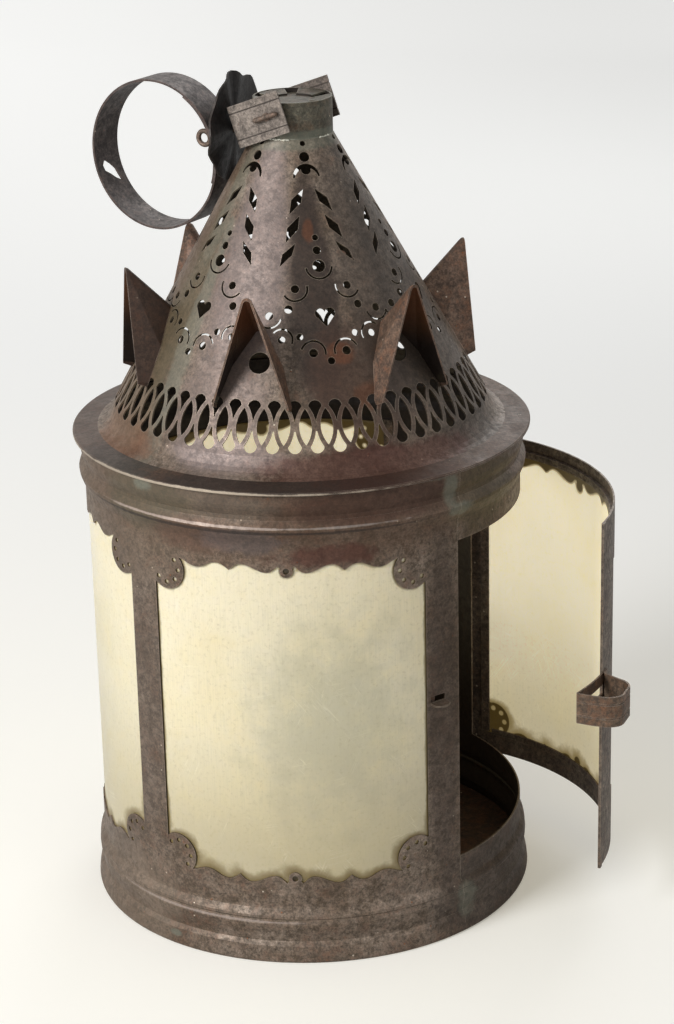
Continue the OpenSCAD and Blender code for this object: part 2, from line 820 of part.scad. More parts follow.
// A strap with a scored line at a share of its height from both edges, on the side that side_of
// moves points to
module scored_strap(path, height, t, share) {
  score = 0.3;
  score_h = 0.7;
  difference() {
    linear_extrude(height)
      ribbon(path, 0, t);
    for (s = [share, 1 - share])
      translate([0, 0, height * s - score_h / 2])
        linear_extrude(score_h)
          ribbon(path, t - score, t + 1);
  }
}

// Half of the yoke's path seen from above, in the handle's frame
function yoke_half() = concat(
  [[-arm_back, yoke_y], [arm_front - 2, yoke_y]],
  [for (b = [75 : -30 : 45]) [arm_front - 2 + 3 * cos(b), yoke_y - 3 + 3 * sin(b)]],
  [[web_w - 2.5, web_half + 3.5]],
  [for (b = [45 : -22.5 : 0]) [web_w - 3 + 3 * cos(b), web_half + 3 * sin(b)]]);

module yoke_strap() {
  path = concat(yoke_half(), [for (p = rev(yoke_half())) [p[0], -p[1]]]);
  color(grey_iron)
    pivot_frame()
      difference() {
        translate([0, 0, -strap_h / 2])
          scored_strap(path, strap_h, sheet, 0.18);
        rotate([90, 0, 0])
          cylinder(r = split_pin_r + run_gap, h = 3 * yoke_y, center = true, $fn = 48);
        rotate([0, 90, 0])
          cylinder(r = split_pin_r + seat_gap, h = 2 * web_w, $fn = 48);
      }
}

// Height of the shield's surface over its plane
function shield_lift(r, b) = ruffle * pow(r / shield_r, 2)
  * (sin(7 * b) + 0.5 * sin(11 * b + 40) + 0.35 * sin(4 * b + 100)) / 1.4
  + shield_curl * pow(max(0, r * cos(b)) / shield_r, 2);
function shield_rim(b) = shield_r
  * (0.915 - 0.05 * cos(b) - 0.085 * cos(2 * b) + 0.035 * sin(5 * b + 20) + 0.03 * sin(8 * b + 110));

module heat_shield() {
  rings = 6;
  sides = 56;
  hole = split_pin_r + 0.8;
  top = [for (i = [0 : rings], j = [0 : sides - 1])
    let (b = j * 360 / sides, r = hole + (shield_rim(b) - hole) * i / rings)
    [r * cos(b), r * sin(b), shield_lift(r, b) + sheet / 2]];
  low = [for (p = top) p - [0, 0, sheet]];
  n = len(top);
  faces = concat(
    [for (i = [0 : rings - 1], j = [0 : sides - 1])
      let (k = (j + 1) % sides, a = i * sides) [a + j, a + k, a + sides + k]],
    [for (i = [0 : rings - 1], j = [0 : sides - 1])
      let (k = (j + 1) % sides, a = i * sides) [a + j, a + sides + k, a + sides + j]],
    [for (i = [0 : rings - 1], j = [0 : sides - 1])
      let (k = (j + 1) % sides, a = n + i * sides) [a + sides + k, a + k, a + j]],
    [for (i = [0 : rings - 1], j = [0 : sides - 1])
      let (k = (j + 1) % sides, a = n + i * sides) [a + sides + j, a + sides + k, a + j]],
    [for (j = [0 : sides - 1])
      let (k = (j + 1) % sides, a = rings * sides) [a + j, a + k, n + a + k]],
    [for (j = [0 : sides - 1])
      let (k = (j + 1) % sides, a = rings * sides) [a + j, n + a + k, n + a + j]],
    [for (j = [0 : sides - 1]) let (k = (j + 1) % sides) [k, j, n + j]],
    [for (j = [0 : sides - 1]) let (k = (j + 1) % sides) [k, n + j, n + k]]);
  color(iron)
    pivot_frame()
      translate([shield_w, 0, 0])
        rotate([0, 0, shield_turn])
          rotate([0, 90 - shield_tilt, 0])
            polyhedron(points = concat(top, low), faces = faces);
}

module ring_pin() {
  color(grey_iron)
    pivot_frame() {
      translate([web_w - seat_gap, 0, 0])
        rotate([0, -90, 0])
          split_pin(eye_w - eye_r - web_w + seat_gap, 6.5, 1.25);
      translate([eye_w, 0, 0])
        rotate([90, 0, 0])
          rotate_extrude($fn = 48)
            translate([eye_r, 0])
              circle(eye_wire_r, $fn = 24);
    }
}

// The ring's frame: Z along the ring's own axis, X away from the pivot
module ring_frame() {
  pivot_frame()
    translate([ring_dist, 0, 0])
      rotate([90, 0, 0])
        children();
}

module ring_hole() {
  pivot_frame()
    translate([band_w - cut / 2, 0, 0])
      rotate([0, 90, 0])
        cylinder(r = split_pin_r + run_gap, h = cut + 2 * ring_t, $fn = 48);
}

module ring_handle() {
  color(iron)
    difference() {
      ring_frame()
        translate([0, 0, -ring_w / 2])
          difference() {
            cylinder(r = ring_r, h = ring_w, $fn = 120);
            translate([0, 0, -1])
              cylinder(r = ring_r - ring_t, h = ring_w + 2, $fn = 120);
          }
      ring_hole();
      // a hole that rust has eaten
      ring_frame()
        rotate([0, 90, 0])
          translate([-0.5, -1, ring_r - cut / 2])
            linear_extrude(cut)
              polygon([[3.5, 6.1], [1.6, 5.7], [-1.1, 3.7], [-3.7, 0.9], [-4.6, -2.7], [-5.4, -6],
                [-1.4, -3.6], [1.4, -1], [4.6, 1.2], [5.2, 3.9]]);
    }
}

// A second strip inside the ring, where its ends meet at the pin
module ring_patch() {
  span = 76;
  color(iron)
    difference() {
      ring_frame()
        translate([0, 0, -ring_w / 2 + 0.5])
          rotate([0, 0, 180 - span / 2])
            rotate_extrude(angle = span, $fn = 120)
              translate([ring_r - 2 * ring_t - seat_gap, 0])
                square([ring_t, ring_w - 1]);
      ring_hole();
    }
}

// The door's sheet with its window and its folded free edge
module door_sheet() {
  hem = 1.4;
  edge_a = hinge_a - (knuckle_r + 2 * part_gap) / (hinge_r * PI / 180);
  color(iron)
    open_door()
      difference() {
        arc_wall(door_in, door_out + 0.5, door_a0, edge_a, door_low_z, door_high_z);
        arc_wall(door_out, door_out + 1, door_a0 + hem, edge_a + 1, door_low_z - 1, door_high_z + 1);
        arc_wall(door_out, door_out + 1, door_a0 - 1, door_a0 + 2 * hem,
          latch_z - hasp_h / 2 - 0.2, latch_z + hasp_h / 2 + 0.2);
        window_cut(door_window_mid, door_window_a, door_out, window_low_z, door_window_high_z);
      }
}

pane_in = door_in - seat_gap - horn_t;
door_pane_a0 = doorway_a0 + 2.4;
door_pane_a1 = doorway_a1 - 2;
door_pane_low = sill_z + 1.2;
door_pane_high = lintel_z - 1.2;

module door_pane() {
  color(horn)
    open_door()
      arc_wall(pane_in, pane_in + horn_t, door_pane_a0, door_pane_a1, door_pane_low, door_pane_high);
}

module door_edge_channel() {
  color(iron)
    open_door()
      upright_strip(pane_in - seat_gap, door_in - seat_gap, door_pane_a0 - 1, door_pane_a0 - 0.1,
        door_pane_a0 + 1.2, sill_z + 1.8, lintel_z - 1.8);
}

module door_hinge_channel() {
  color(iron)
    open_door()
      upright_strip(pane_in - seat_gap, door_in - seat_gap, door_pane_a1 + 0.1, door_pane_a1 + 1,
        door_pane_a1 - 1.4, sill_z + 1.8, lintel_z - 1.8);
}

// Level strip that holds the top or the bottom of the door's pane
module level_channel(z_lip, z_foot) {
  r_lip = pane_in - seat_gap;
  a0 = door_pane_a0 + 2;
  a1 = door_pane_a1 - 2.2;
  color(iron)
    open_door()
      at(a0)
        rotate_extrude(angle = a1 - a0, $fn = 180)
          polygon(z_lip < z_foot
            ? [[r_lip - sheet, z_lip], [r_lip, z_lip], [r_lip, z_foot], [door_in - seat_gap, z_foot],
               [door_in - seat_gap, z_foot + sheet], [r_lip - sheet, z_foot + sheet]]
            : [[r_lip - sheet, z_foot], [door_in - seat_gap, z_foot], [door_in - seat_gap, z_foot + sheet],
               [r_lip, z_foot + sheet], [r_lip, z_lip], [r_lip - sheet, z_lip]]);
}

module door_top_channel() {
  level_channel(door_pane_high - 2.4, door_pane_high + seat_gap);
}

module door_bottom_channel() {
  level_channel(door_pane_low + 2.4, door_pane_low - seat_gap - sheet);
}

leaf_a = 11;
leaf_gap_a = (knuckle_r + part_gap) / mm_per_deg;

// A hinge leaf and its knuckle at full height, with the pin's bore
module whole_leaf(mid, leaf_r, a0, a1) {
  translate([0, 0, mid - hinge_h / 2])
    linear_extrude(hinge_h)
      difference() {
        union() {
          arc_outline(leaf_r, leaf_r + sheet, a0, a1);
          at(hinge_a)
            translate([hinge_r, 0])
              circle(knuckle_r, $fn = 48);
        }
        at(hinge_a)
          translate([hinge_r, 0])
            circle(hinge_pin_r + run_gap, $fn = 32);
      }
}

// Leaf on the wall, with the outer two knuckles
module body_leaf(mid) {
  half = knuckle_h / 2 + part_gap;
  color(grey_iron)
    difference() {
      whole_leaf(mid, wall_r + seat_gap, hinge_a, hinge_a + leaf_a);
      arc_wall(wall_r - 1, wall_r + 3 * knuckle_r, hinge_a - 2 * leaf_gap_a, hinge_a + leaf_gap_a,
        mid - half, mid + half);
    }
}

// Leaf on the door, with the middle knuckle
module door_leaf(mid) {
  half = knuckle_h / 2;
  color(grey_iron)
    open_door()
      difference() {
        whole_leaf(mid, door_out + seat_gap, hinge_a - leaf_a, hinge_a - 0.9);
        for (side = [-1, 1])
          translate([0, 0, mid + side * (half + hinge_h / 2)])
            arc_wall(wall_r - 1, wall_r + 3 * knuckle_r, hinge_a - leaf_gap_a - 0.4,
              hinge_a + 2 * leaf_gap_a, -hinge_h / 2, hinge_h / 2);
      }
}

module hinge_pin(mid) {
  over = 1.2;
  color(grey_iron)
    at(hinge_a)
      translate([hinge_r, 0, mid - hinge_h / 2 - over])
        cylinder(r = hinge_pin_r, h = hinge_h + 2 * over, $fn = 32);
}

// Path of the hasp seen from above: X along the door's edge line, away from the door, Y outwards
leg_r = door_out + seat_gap;
function leg_y(x) = sqrt(leg_r * leg_r - x * x) - leg_r;
function hasp_leg() = [for (x = [hasp_l : -(hasp_l + 6) / 8 : -6.01]) [x, leg_y(x)]];
function hasp_bow() = concat(
  [[hasp_l, leg_y(hasp_l) + 0.4], [hasp_l + 0.3, hasp_d * 0.27]],
  [for (b = [0 : 15 : 90]) [hasp_l - 6.5 + 6.5 * cos(b), hasp_d * 0.52 + hasp_d * 0.48 * sin(b)]],
  [for (b = [105 : 15 : 165]) [12.5 + 8.5 * cos(b), hasp_d * 0.42 + hasp_d * 0.58 * sin(b)]],
  [[1.9, 4.2], [0.4, 1.6], [-1.6, sheet], [-5, sheet - 0.3]]);

module hasp_loop() {
  slot_h = 4.4;
  slot_l = 19;
  color(iron)
    open_door()
      difference() {
        at(door_a0)
          translate([leg_r, 0, latch_z - hasp_h / 2])
            rotate([0, 0, -90]) {
              linear_extrude(hasp_h)
                ribbon(hasp_leg(), 0, -sheet);
              scored_strap(rev(hasp_bow()), hasp_h, sheet, 0.27);
            }
        at(door_a0)
          translate([leg_r - cut, -slot_l - sheet, latch_z - sheet / 2 - slot_h / 2])
            cube([cut + 1.75 * sheet, slot_l, slot_h]);
      }
}

base_floor();
base_wire();
window_wall();
sill_strip();
lintel_strip();
pane(window_mids[0]);  // front_pane
pane(window_mids[1]);  // left_pane
pane(window_mids[2]);  // back_pane
pane_strips(window_mids[0]);  // front_pane_strips
pane_strips(window_mids[1]);  // left_pane_strips
pane_strips(window_mids[2]);  // back_pane_strips
drip_pan();
candle_socket();
brim_ring();
roof_cone();
hood(0);  // hood_1
hood(1);  // hood_2
hood(2);  // hood_3
hood(3);  // hood_4
hood(4);  // hood_5
hood(5);  // hood_6
neck_collar();
neck_cap();
pivot_pin(1);  // front_pivot_pin
pivot_pin(-1);  // back_pivot_pin
body_leaf(low_hinge_z);  // lower_body_leaf
body_leaf(high_hinge_z);  // upper_body_leaf
hinge_pin(low_hinge_z);  // lower_hinge_pin
hinge_pin(high_hinge_z);  // upper_hinge_pin
door_sheet();
door_pane();
door_top_channel();
door_bottom_channel();
door_edge_channel();
door_hinge_channel();
door_leaf(low_hinge_z);  // lower_door_leaf
door_leaf(high_hinge_z);  // upper_door_leaf
hasp_loop();
yoke_strap();
heat_shield();
ring_pin();
ring_handle();
ring_patch();
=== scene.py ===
import json
import math
import random

import bpy
import numpy as np
from mathutils import Matrix, Vector


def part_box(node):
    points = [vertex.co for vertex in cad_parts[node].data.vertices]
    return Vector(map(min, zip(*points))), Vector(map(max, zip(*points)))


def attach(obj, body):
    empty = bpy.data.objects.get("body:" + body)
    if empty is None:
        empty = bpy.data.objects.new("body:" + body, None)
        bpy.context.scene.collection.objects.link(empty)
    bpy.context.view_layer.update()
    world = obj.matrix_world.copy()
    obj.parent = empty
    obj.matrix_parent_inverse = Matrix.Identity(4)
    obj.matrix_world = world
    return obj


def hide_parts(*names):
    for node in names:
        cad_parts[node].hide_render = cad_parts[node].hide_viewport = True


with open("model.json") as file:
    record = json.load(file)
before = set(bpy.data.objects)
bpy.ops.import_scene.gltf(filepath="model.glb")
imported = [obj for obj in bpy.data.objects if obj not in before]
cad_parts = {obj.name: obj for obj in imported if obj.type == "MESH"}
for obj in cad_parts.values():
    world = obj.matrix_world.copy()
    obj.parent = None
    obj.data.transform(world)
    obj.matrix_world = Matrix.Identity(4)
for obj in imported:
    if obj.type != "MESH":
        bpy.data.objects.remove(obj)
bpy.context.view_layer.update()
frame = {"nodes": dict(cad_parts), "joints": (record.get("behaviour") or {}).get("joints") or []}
node = frame["nodes"]


# The view. The lantern was photographed with a long lens, from the front and 20 degrees above it,
# at about 1.4 m. The camera leans a little to one side.
VIEW_LENS, VIEW_FILM, VIEW_NEAR = 95.47, 36, 0.05
VIEW_PLACE = (0, -1.2457, 0.6413)
VIEW_DOWN, VIEW_TURN, VIEW_LEAN = 20.0, 0.738, -1.375

camera = bpy.data.objects.new("view", bpy.data.cameras.new("view"))
camera.data.lens = VIEW_LENS
camera.data.sensor_width = VIEW_FILM
camera.data.clip_start = VIEW_NEAR
camera.location = VIEW_PLACE
camera.rotation_mode = "QUATERNION"
camera.rotation_quaternion = (
    Matrix.Rotation(math.radians(-VIEW_TURN), 3, "Z")
    @ Matrix.Rotation(math.radians(90 - VIEW_DOWN), 3, "X")
    @ Matrix.Rotation(math.radians(VIEW_LEAN), 3, "Z")).to_quaternion()
bpy.context.scene.collection.objects.link(camera)
bpy.context.scene.camera = camera
bpy.context.scene.view_settings.view_transform = "Standard"


# The paper sweep and the lamps. The lantern stands on pale grey paper that fills the view. A large soft
# lamp on the upper left gives most of the light, and white walls all round give the rest. For the camera
# the paper also glows with painted light: warm in front, lighter on the left and darker on the right.
def srgb(red, green, blue):
    """A colour as it looks on a screen, 0 to 255, as the renderer's own values."""
    return tuple((v / 255 / 12.92 if v <= 10 else ((v / 255 + 0.055) / 1.055) ** 2.4)
                 for v in (red, green, blue)) + (1.0,)


def shade(tree, kind, inputs=None, **settings):
    """Adds a shader node. inputs gives its sockets constants or other nodes' outputs."""
    made = tree.nodes.new("ShaderNode" + kind)
    for name, value in settings.items():
        setattr(made, name, value)
    for key, value in (inputs or {}).items():
        if isinstance(value, bpy.types.NodeSocket):
            tree.links.new(value, made.inputs[key])
        else:
            made.inputs[key].default_value = value
    return made


def calc(tree, operation, *values):
    return shade(tree, "Math", dict(enumerate(values)), operation=operation).outputs[0]


def fade(tree, value, start, end, low=0.0, high=1.0):
    """Goes smoothly from low to high as value goes from start to end."""
    return shade(tree, "MapRange", {"Value": value, "From Min": start, "From Max": end, "To Min": low,
                                    "To Max": high}, interpolation_type="SMOOTHSTEP").outputs[0]


def mix(tree, share, first, second, how="MIX"):
    return shade(tree, "Mix", {0: share, 6: first, 7: second}, data_type="RGBA",
                 blend_type=how).outputs[2]


PAPER = srgb(232, 232, 230)
PAINTED_WARM_LIGHT = srgb(238, 231, 212)
GLOW_NEAR, GLOW_MIDDLE, GLOW_FAR = 0.30, 0.25, 0.65
PAINTED_SIDE_NEAR, PAINTED_SIDE_FAR = 0.012, 0.085
WALLS_LIGHT = 0.34
WALLS_SEEN = 0.90
FLOOR_HALF = 7.0

floor_mesh = bpy.data.meshes.new("paper_sweep")
sides = ((-1, -1), (1, -1), (1, 1), (-1, 1))
floor_mesh.from_pydata([(x * FLOOR_HALF, y * FLOOR_HALF, 0) for x, y in sides], [], [(0, 1, 2, 3)])
floor = bpy.data.objects.new("paper_sweep", floor_mesh)
bpy.context.scene.collection.objects.link(floor)

paper = bpy.data.materials.new("paper")
paper.use_nodes = True
tree = paper.node_tree
tree.nodes.clear()
paper_skin = shade(tree, "BsdfPrincipled", {"Base Color": PAPER, "Roughness": 0.9,
                                            "Specular IOR Level": 0.1})
spot = shade(tree, "SeparateXYZ", {0: shade(tree, "TexCoord").outputs["Object"]}).outputs
# painted light: the glow is warm in front of and under the lantern, and plain paper further back
painted_glow = mix(tree, fade(tree, spot[1], 0.0, 1.0), PAINTED_WARM_LIGHT, PAPER)
tree.links.new(mix(tree, shade(tree, "LightPath").outputs["Is Camera Ray"], (0, 0, 0, 1), painted_glow),
               paper_skin.inputs["Emission Color"])
far = calc(tree, "ADD", fade(tree, spot[1], -0.1, 0.6, GLOW_NEAR, GLOW_MIDDLE),
           fade(tree, spot[1], 0.7, 2.4, 0.0, GLOW_FAR - GLOW_MIDDLE))
# painted light and shade: the glow is stronger on the left and weaker on the right
painted_side_light = calc(tree, "MULTIPLY", fade(tree, spot[0], -0.5, 0.5, 1.0, -1.0),
             fade(tree, spot[1], 0.0, 0.7, PAINTED_SIDE_NEAR, PAINTED_SIDE_FAR))
tree.links.new(calc(tree, "ADD", far, painted_side_light), paper_skin.inputs["Emission Strength"])
tree.links.new(paper_skin.outputs[0], shade(tree, "OutputMaterial").inputs["Surface"])
floor_mesh.materials.append(paper)

world = bpy.data.worlds.new("white_walls")
world.use_nodes = True
bpy.context.scene.world = world
tree = world.node_tree
tree.nodes.clear()
path = shade(tree, "LightPath").outputs
seen = calc(tree, "MAXIMUM", calc(tree, "MAXIMUM", path["Is Camera Ray"], path["Is Glossy Ray"]),
            path["Is Transmission Ray"])
walls = shade(tree, "Background", {"Color": (1, 1, 1, 1), "Strength": WALLS_LIGHT})
backdrop = shade(tree, "Background", {"Color": (1, 1, 0.99, 1), "Strength": WALLS_SEEN})
both = shade(tree, "MixShader", {0: seen, 1: walls.outputs[0], 2: backdrop.outputs[0]})
tree.links.new(both.outputs[0], shade(tree, "OutputWorld").inputs["Surface"])


def lamp(name, place, aim, size, power, colour=(1, 1, 1)):
    light = bpy.data.lights.new(name, "AREA")
    light.shape = "DISK"
    light.size = size
    light.energy = power
    light.color = colour
    made = bpy.data.objects.new(name, light)
    made.location = place
    made.rotation_mode = "QUATERNION"
    made.rotation_quaternion = (Vector(aim) - Vector(place)).to_track_quat("-Z", "Y")
    bpy.context.scene.collection.objects.link(made)


LANTERN_MIDDLE = (0, 0, 0.2)
lamp("key_lamp", (-1.3, -1.05, 1.05), LANTERN_MIDDLE, 0.8, 30)
lamp("fill_lamp", (1.3, -1.1, 0.9), LANTERN_MIDDLE, 0.8, 1.5)
lamp("back_lamp", (0.5, 1.4, 1.1), LANTERN_MIDDLE, 1.0, 6)


# Base floor and rim wire. The lantern stands on a rolled iron rim, with a wire inside it and a flat sheet
# soldered in as the floor. All of its iron is thin sheet, brown with age, soot and worn edges.
MM = 1000.0
AGED_BROWN = srgb(90, 75, 60)
MAUVE_GREY = srgb(136, 122, 109)
RUST_BROWN = srgb(78, 52, 35)
DARK_BROWN = srgb(40, 30, 25)
OLIVE_GREY = srgb(112, 104, 84)
BRIGHT_IRON = srgb(184, 170, 152)
SOLDER_GREY = srgb(140, 144, 130)
SOOT = srgb(30, 22, 18)
PALE_SPECK = srgb(214, 200, 180)
ORANGE_RUST = srgb(132, 78, 42)


def effect(name, inputs, outputs):
    """Starts a node group with named sockets. Returns its tree, what comes in and what goes out."""
    made = bpy.data.node_groups.new(name, "ShaderNodeTree")
    for label, kind, start in inputs:
        socket = made.interface.new_socket(label, in_out="INPUT", socket_type="NodeSocket" + kind)
        if start is not None:
            socket.default_value = start
    for label, kind in outputs:
        made.interface.new_socket(label, in_out="OUTPUT", socket_type="NodeSocket" + kind)
    return made, made.nodes.new("NodeGroupInput").outputs, made.nodes.new("NodeGroupOutput").inputs


def use(tree, group, inputs=None):
    """Places a node group in a material and returns its outputs."""
    made = tree.nodes.new("ShaderNodeGroup")
    made.node_tree = group
    for key, value in (inputs or {}).items():
        if isinstance(value, bpy.types.NodeSocket):
            tree.links.new(value, made.inputs[key])
        else:
            made.inputs[key].default_value = value
    return made.outputs


def cloud(tree, place, scale, detail=4, roughness=0.6, seed=0.0):
    """Soft noise, with scale in waves per millimetre."""
    return shade(tree, "TexNoise", {"Vector": place, "Scale": scale, "Detail": detail,
                                    "Roughness": roughness, "W": seed}, noise_dimensions="4D").outputs[0]


# where a point lies on the lantern: azimuth in degrees from the front, and height in millimetres
lantern_place, given, out = effect("lantern place", [], [
    ("Place", "Vector"), ("Azimuth", "Float"), ("Height", "Float"), ("Inside", "Float")])
tree = lantern_place
metres = shade(tree, "TexCoord").outputs["Object"]
place = shade(tree, "VectorMath", {0: metres, "Scale": MM}, operation="SCALE").outputs[0]
parts = shade(tree, "SeparateXYZ", {0: place}).outputs
azimuth = calc(tree, "DEGREES", calc(tree, "ARCTAN2", parts[0], calc(tree, "MULTIPLY", parts[1], -1)))
flat = shade(tree, "VectorMath", {0: place, 1: (1, 1, 0)}, operation="MULTIPLY").outputs[0]
away = shade(tree, "VectorMath", {0: flat}, operation="NORMALIZE").outputs[0]
facing = shade(tree, "VectorMath", {0: away, 1: shade(tree, "NewGeometry").outputs["Normal"]},
               operation="DOT_PRODUCT").outputs["Value"]
for label, value in (("Place", place), ("Azimuth", azimuth), ("Height", parts[2]),
                     ("Inside", fade(tree, facing, -0.1, -0.35))):
    tree.links.new(value, out[label])

# a ragged patch round a place on the lantern
patch, given, out = effect("ragged patch", [
    ("Azimuth", "Float", 0), ("Height", "Float", 0), ("Middle azimuth", "Float", 0),
    ("Middle height", "Float", 0), ("Half azimuth", "Float", 10), ("Half height", "Float", 10),
    ("Noise", "Float", 0.5), ("Ragged", "Float", 1)], [("Mask", "Float")])
tree = patch
off = [calc(tree, "POWER", calc(tree, "ABSOLUTE", calc(tree, "DIVIDE", calc(
    tree, "SUBTRACT", given[way], given["Middle " + way.lower()]), given["Half " + way.lower()])), 2)
    for way in ("Azimuth", "Height")]
torn = calc(tree, "MULTIPLY", calc(tree, "SUBTRACT", given["Noise"], 0.5), given["Ragged"])
tree.links.new(fade(tree, calc(tree, "ADD", calc(tree, "SQRT", calc(tree, "ADD", *off)), torn), 1.3, 0.7),
               out["Mask"])

# a mask along sharp edges, broken up by noise
worn_edges, given, out = effect("worn edges", [("Size", "Float", 0.0006), ("Place", "Vector", None)],
                                [("Mask", "Float")])
tree = worn_edges
rounded = shade(tree, "Bevel", {"Radius": given["Size"]}, samples=4).outputs[0]
turned = shade(tree, "VectorMath", {0: rounded, 1: shade(tree, "NewGeometry").outputs["Normal"]},
               operation="DOT_PRODUCT").outputs["Value"]
broken = fade(tree, cloud(tree, given["Place"], 0.12, seed=4.0), 0.35, 0.6, 0.25, 1.0)
tree.links.new(calc(tree, "MULTIPLY", fade(tree, turned, 0.985, 0.86), broken), out["Mask"])

# the finish of old sheet iron
old_iron, given, out = effect("old sheet iron", [
    ("Place", "Vector", None), ("Ground", "Color", AGED_BROWN), ("Bloom", "Color", MAUVE_GREY),
    ("Rust", "Color", RUST_BROWN), ("Bloom share", "Float", 0.4), ("Rust share", "Float", 0.4),
    ("Grain", "Float", 0.35), ("Specks", "Float", 0.4)],
    [("Color", "Color"), ("Roughness", "Float"), ("Height", "Float"), ("Noise", "Float"),
     ("Bright", "Float")])
tree = old_iron
spot = given["Place"]
clouds = cloud(tree, spot, 0.024, 5, 0.62)
blotch = cloud(tree, spot, 0.10, 6, 0.68, 2.0)
rust_blotch = cloud(tree, spot, 0.07, 7, 0.72, 7.0)
grain = cloud(tree, spot, 0.9, 3, 0.75, 3.0)
flecks = cloud(tree, spot, 0.34, 4, 0.75, 5.0)
pits = cloud(tree, spot, 0.33, 2, 0.5, 9.0)


def share_of(value, share, soft):
    """1 where the noise lies in the share of the surface that is asked for."""
    line = calc(tree, "SUBTRACT", 0.68, calc(tree, "MULTIPLY", share, 0.36))
    return fade(tree, calc(tree, "SUBTRACT", value, line), -soft, soft)


mottled = calc(tree, "ADD", calc(tree, "MULTIPLY", clouds, 0.35), calc(
    tree, "ADD", calc(tree, "MULTIPLY", blotch, 0.25), calc(tree, "MULTIPLY", flecks, 0.4)))
rusted = calc(tree, "ADD", calc(tree, "MULTIPLY", rust_blotch, 0.45), calc(tree, "MULTIPLY", flecks, 0.55))
rust_mask = calc(tree, "MULTIPLY", share_of(rusted, given["Rust share"], 0.09), 0.8)
colour = mix(tree, share_of(mottled, given["Bloom share"], 0.12), given["Ground"], given["Bloom"])
colour = mix(tree, rust_mask, colour, given["Rust"])
tone = calc(tree, "ADD", 1.0, calc(tree, "MULTIPLY", calc(tree, "SUBTRACT", grain, 0.5),
                                   calc(tree, "MULTIPLY", given["Grain"], 5.0)))
tone = calc(tree, "MULTIPLY", tone, fade(tree, flecks, 0.32, 0.68, 0.7, 1.32))
toned = shade(tree, "VectorMath", {0: colour, "Scale": tone}, operation="SCALE").outputs[0]
cells = shade(tree, "TexVoronoi", {"Vector": spot, "Scale": 0.24}, feature="F1")
chosen = shade(tree, "SeparateXYZ", {0: cells.outputs["Color"]}).outputs
few = calc(tree, "LESS_THAN", chosen[0], calc(tree, "MULTIPLY", given["Specks"], 0.5))
dots = calc(tree, "MULTIPLY", fade(tree, cells.outputs["Distance"], 0.13, 0.07), few)
speck_colour = mix(tree, calc(tree, "GREATER_THAN", chosen[1], 0.55), PALE_SPECK, ORANGE_RUST)
dark_pits = fade(tree, pits, 0.30, 0.22)
toned = mix(tree, calc(tree, "MULTIPLY", dark_pits, 0.7), toned, DARK_BROWN)
tree.links.new(mix(tree, calc(tree, "MULTIPLY", dots, 0.75), toned, speck_colour), out["Color"])
tree.links.new(calc(tree, "ADD", fade(tree, flecks, 0.35, 0.65, 0.62, 0.40), calc(
    tree, "MULTIPLY", rust_mask, 0.18)), out["Roughness"])
tree.links.new(calc(tree, "ADD", calc(tree, "MULTIPLY", grain, 0.35), calc(
    tree, "ADD", calc(tree, "MULTIPLY", blotch, 0.65), calc(tree, "MULTIPLY", dots, 0.3))), out["Height"])
tree.links.new(rust_blotch, out["Noise"])
tree.links.new(dots, out["Bright"])


WORN_FADE = 2


def iron(name, ground=AGED_BROWN, bloom=MAUVE_GREY, rust=RUST_BROWN, bloom_share=0.4, rust_share=0.4,
         grain=0.55, specks=0.4, stains_and_light=(), worn=BRIGHT_IRON, wear=0.4, edge=0.6, sooty=0.92,
         bump=0.0004, metal=0.35, worn_from=-1):
    """A material of old iron. Each patch, a stain or a painted light or shade, is (azimuth, height, half
    azimuth, half height, colour, share, raggedness), with a share above 1 where the metal is rubbed bright
    or painted with a highlight. Edges are worn above worn_from."""
    made = bpy.data.materials.new(name)
    made.use_nodes = True
    tree = made.node_tree
    tree.nodes.clear()
    where = use(tree, lantern_place)
    skin = use(tree, old_iron, {"Place": where["Place"], "Ground": ground, "Bloom": bloom, "Rust": rust,
                                "Bloom share": bloom_share, "Rust share": rust_share, "Grain": grain,
                                "Specks": specks})
    colour = skin["Color"]
    bright = calc(tree, "MULTIPLY", skin["Bright"], 0.3)
    # stains and patches of painted light or shade are mixed in alike
    for azimuth, height, half_azimuth, half_height, patch_colour, share, ragged in stains_and_light:
        mask = use(tree, patch, {
            "Azimuth": where["Azimuth"], "Height": where["Height"], "Middle azimuth": azimuth,
            "Middle height": height, "Half azimuth": half_azimuth, "Half height": half_height,
            "Noise": skin["Noise"], "Ragged": ragged})[0]
        mask = calc(tree, "MULTIPLY", mask, min(share, 1.0))
        if share > 1:
            bright = calc(tree, "MAXIMUM", bright, mask)
            colour = mix(tree, mask, colour, patch_colour)
        else:
            colour = mix(tree, mask, colour, mix(tree, 0.6, patch_colour, skin["Color"], "OVERLAY"))
    if edge:
        rubbed = use(tree, worn_edges, {"Size": edge / MM, "Place": where["Place"]})[0]
        rubbed = calc(tree, "MULTIPLY", rubbed, fade(
            tree, where["Height"], worn_from, worn_from + WORN_FADE, 0.0, wear))
        colour = mix(tree, rubbed, colour, worn)
        bright = calc(tree, "MAXIMUM", bright, rubbed)
    if sooty:
        soot = calc(tree, "MULTIPLY", where["Inside"], sooty)
        colour = mix(tree, soot, colour, SOOT)
        bright = calc(tree, "MULTIPLY", bright, calc(tree, "SUBTRACT", 1.0, soot))
    roughness = calc(tree, "SUBTRACT", skin["Roughness"], calc(tree, "MULTIPLY", bright, 0.18))
    bumps = shade(tree, "Bump", {"Strength": 0.8, "Distance": bump, "Height": skin["Height"]})
    surface = shade(tree, "BsdfPrincipled", {
        "Base Color": colour, "Roughness": roughness, "Normal": bumps.outputs[0],
        "Metallic": calc(tree, "ADD", metal, calc(tree, "MULTIPLY", bright, 0.5))})
    tree.links.new(surface.outputs[0], shade(tree, "OutputMaterial").inputs["Surface"])
    return made


def dress(names, material):
    """Gives CAD nodes a material."""
    for name in names:
        mesh = node[name].data
        mesh.materials.clear()
        mesh.materials.append(material)


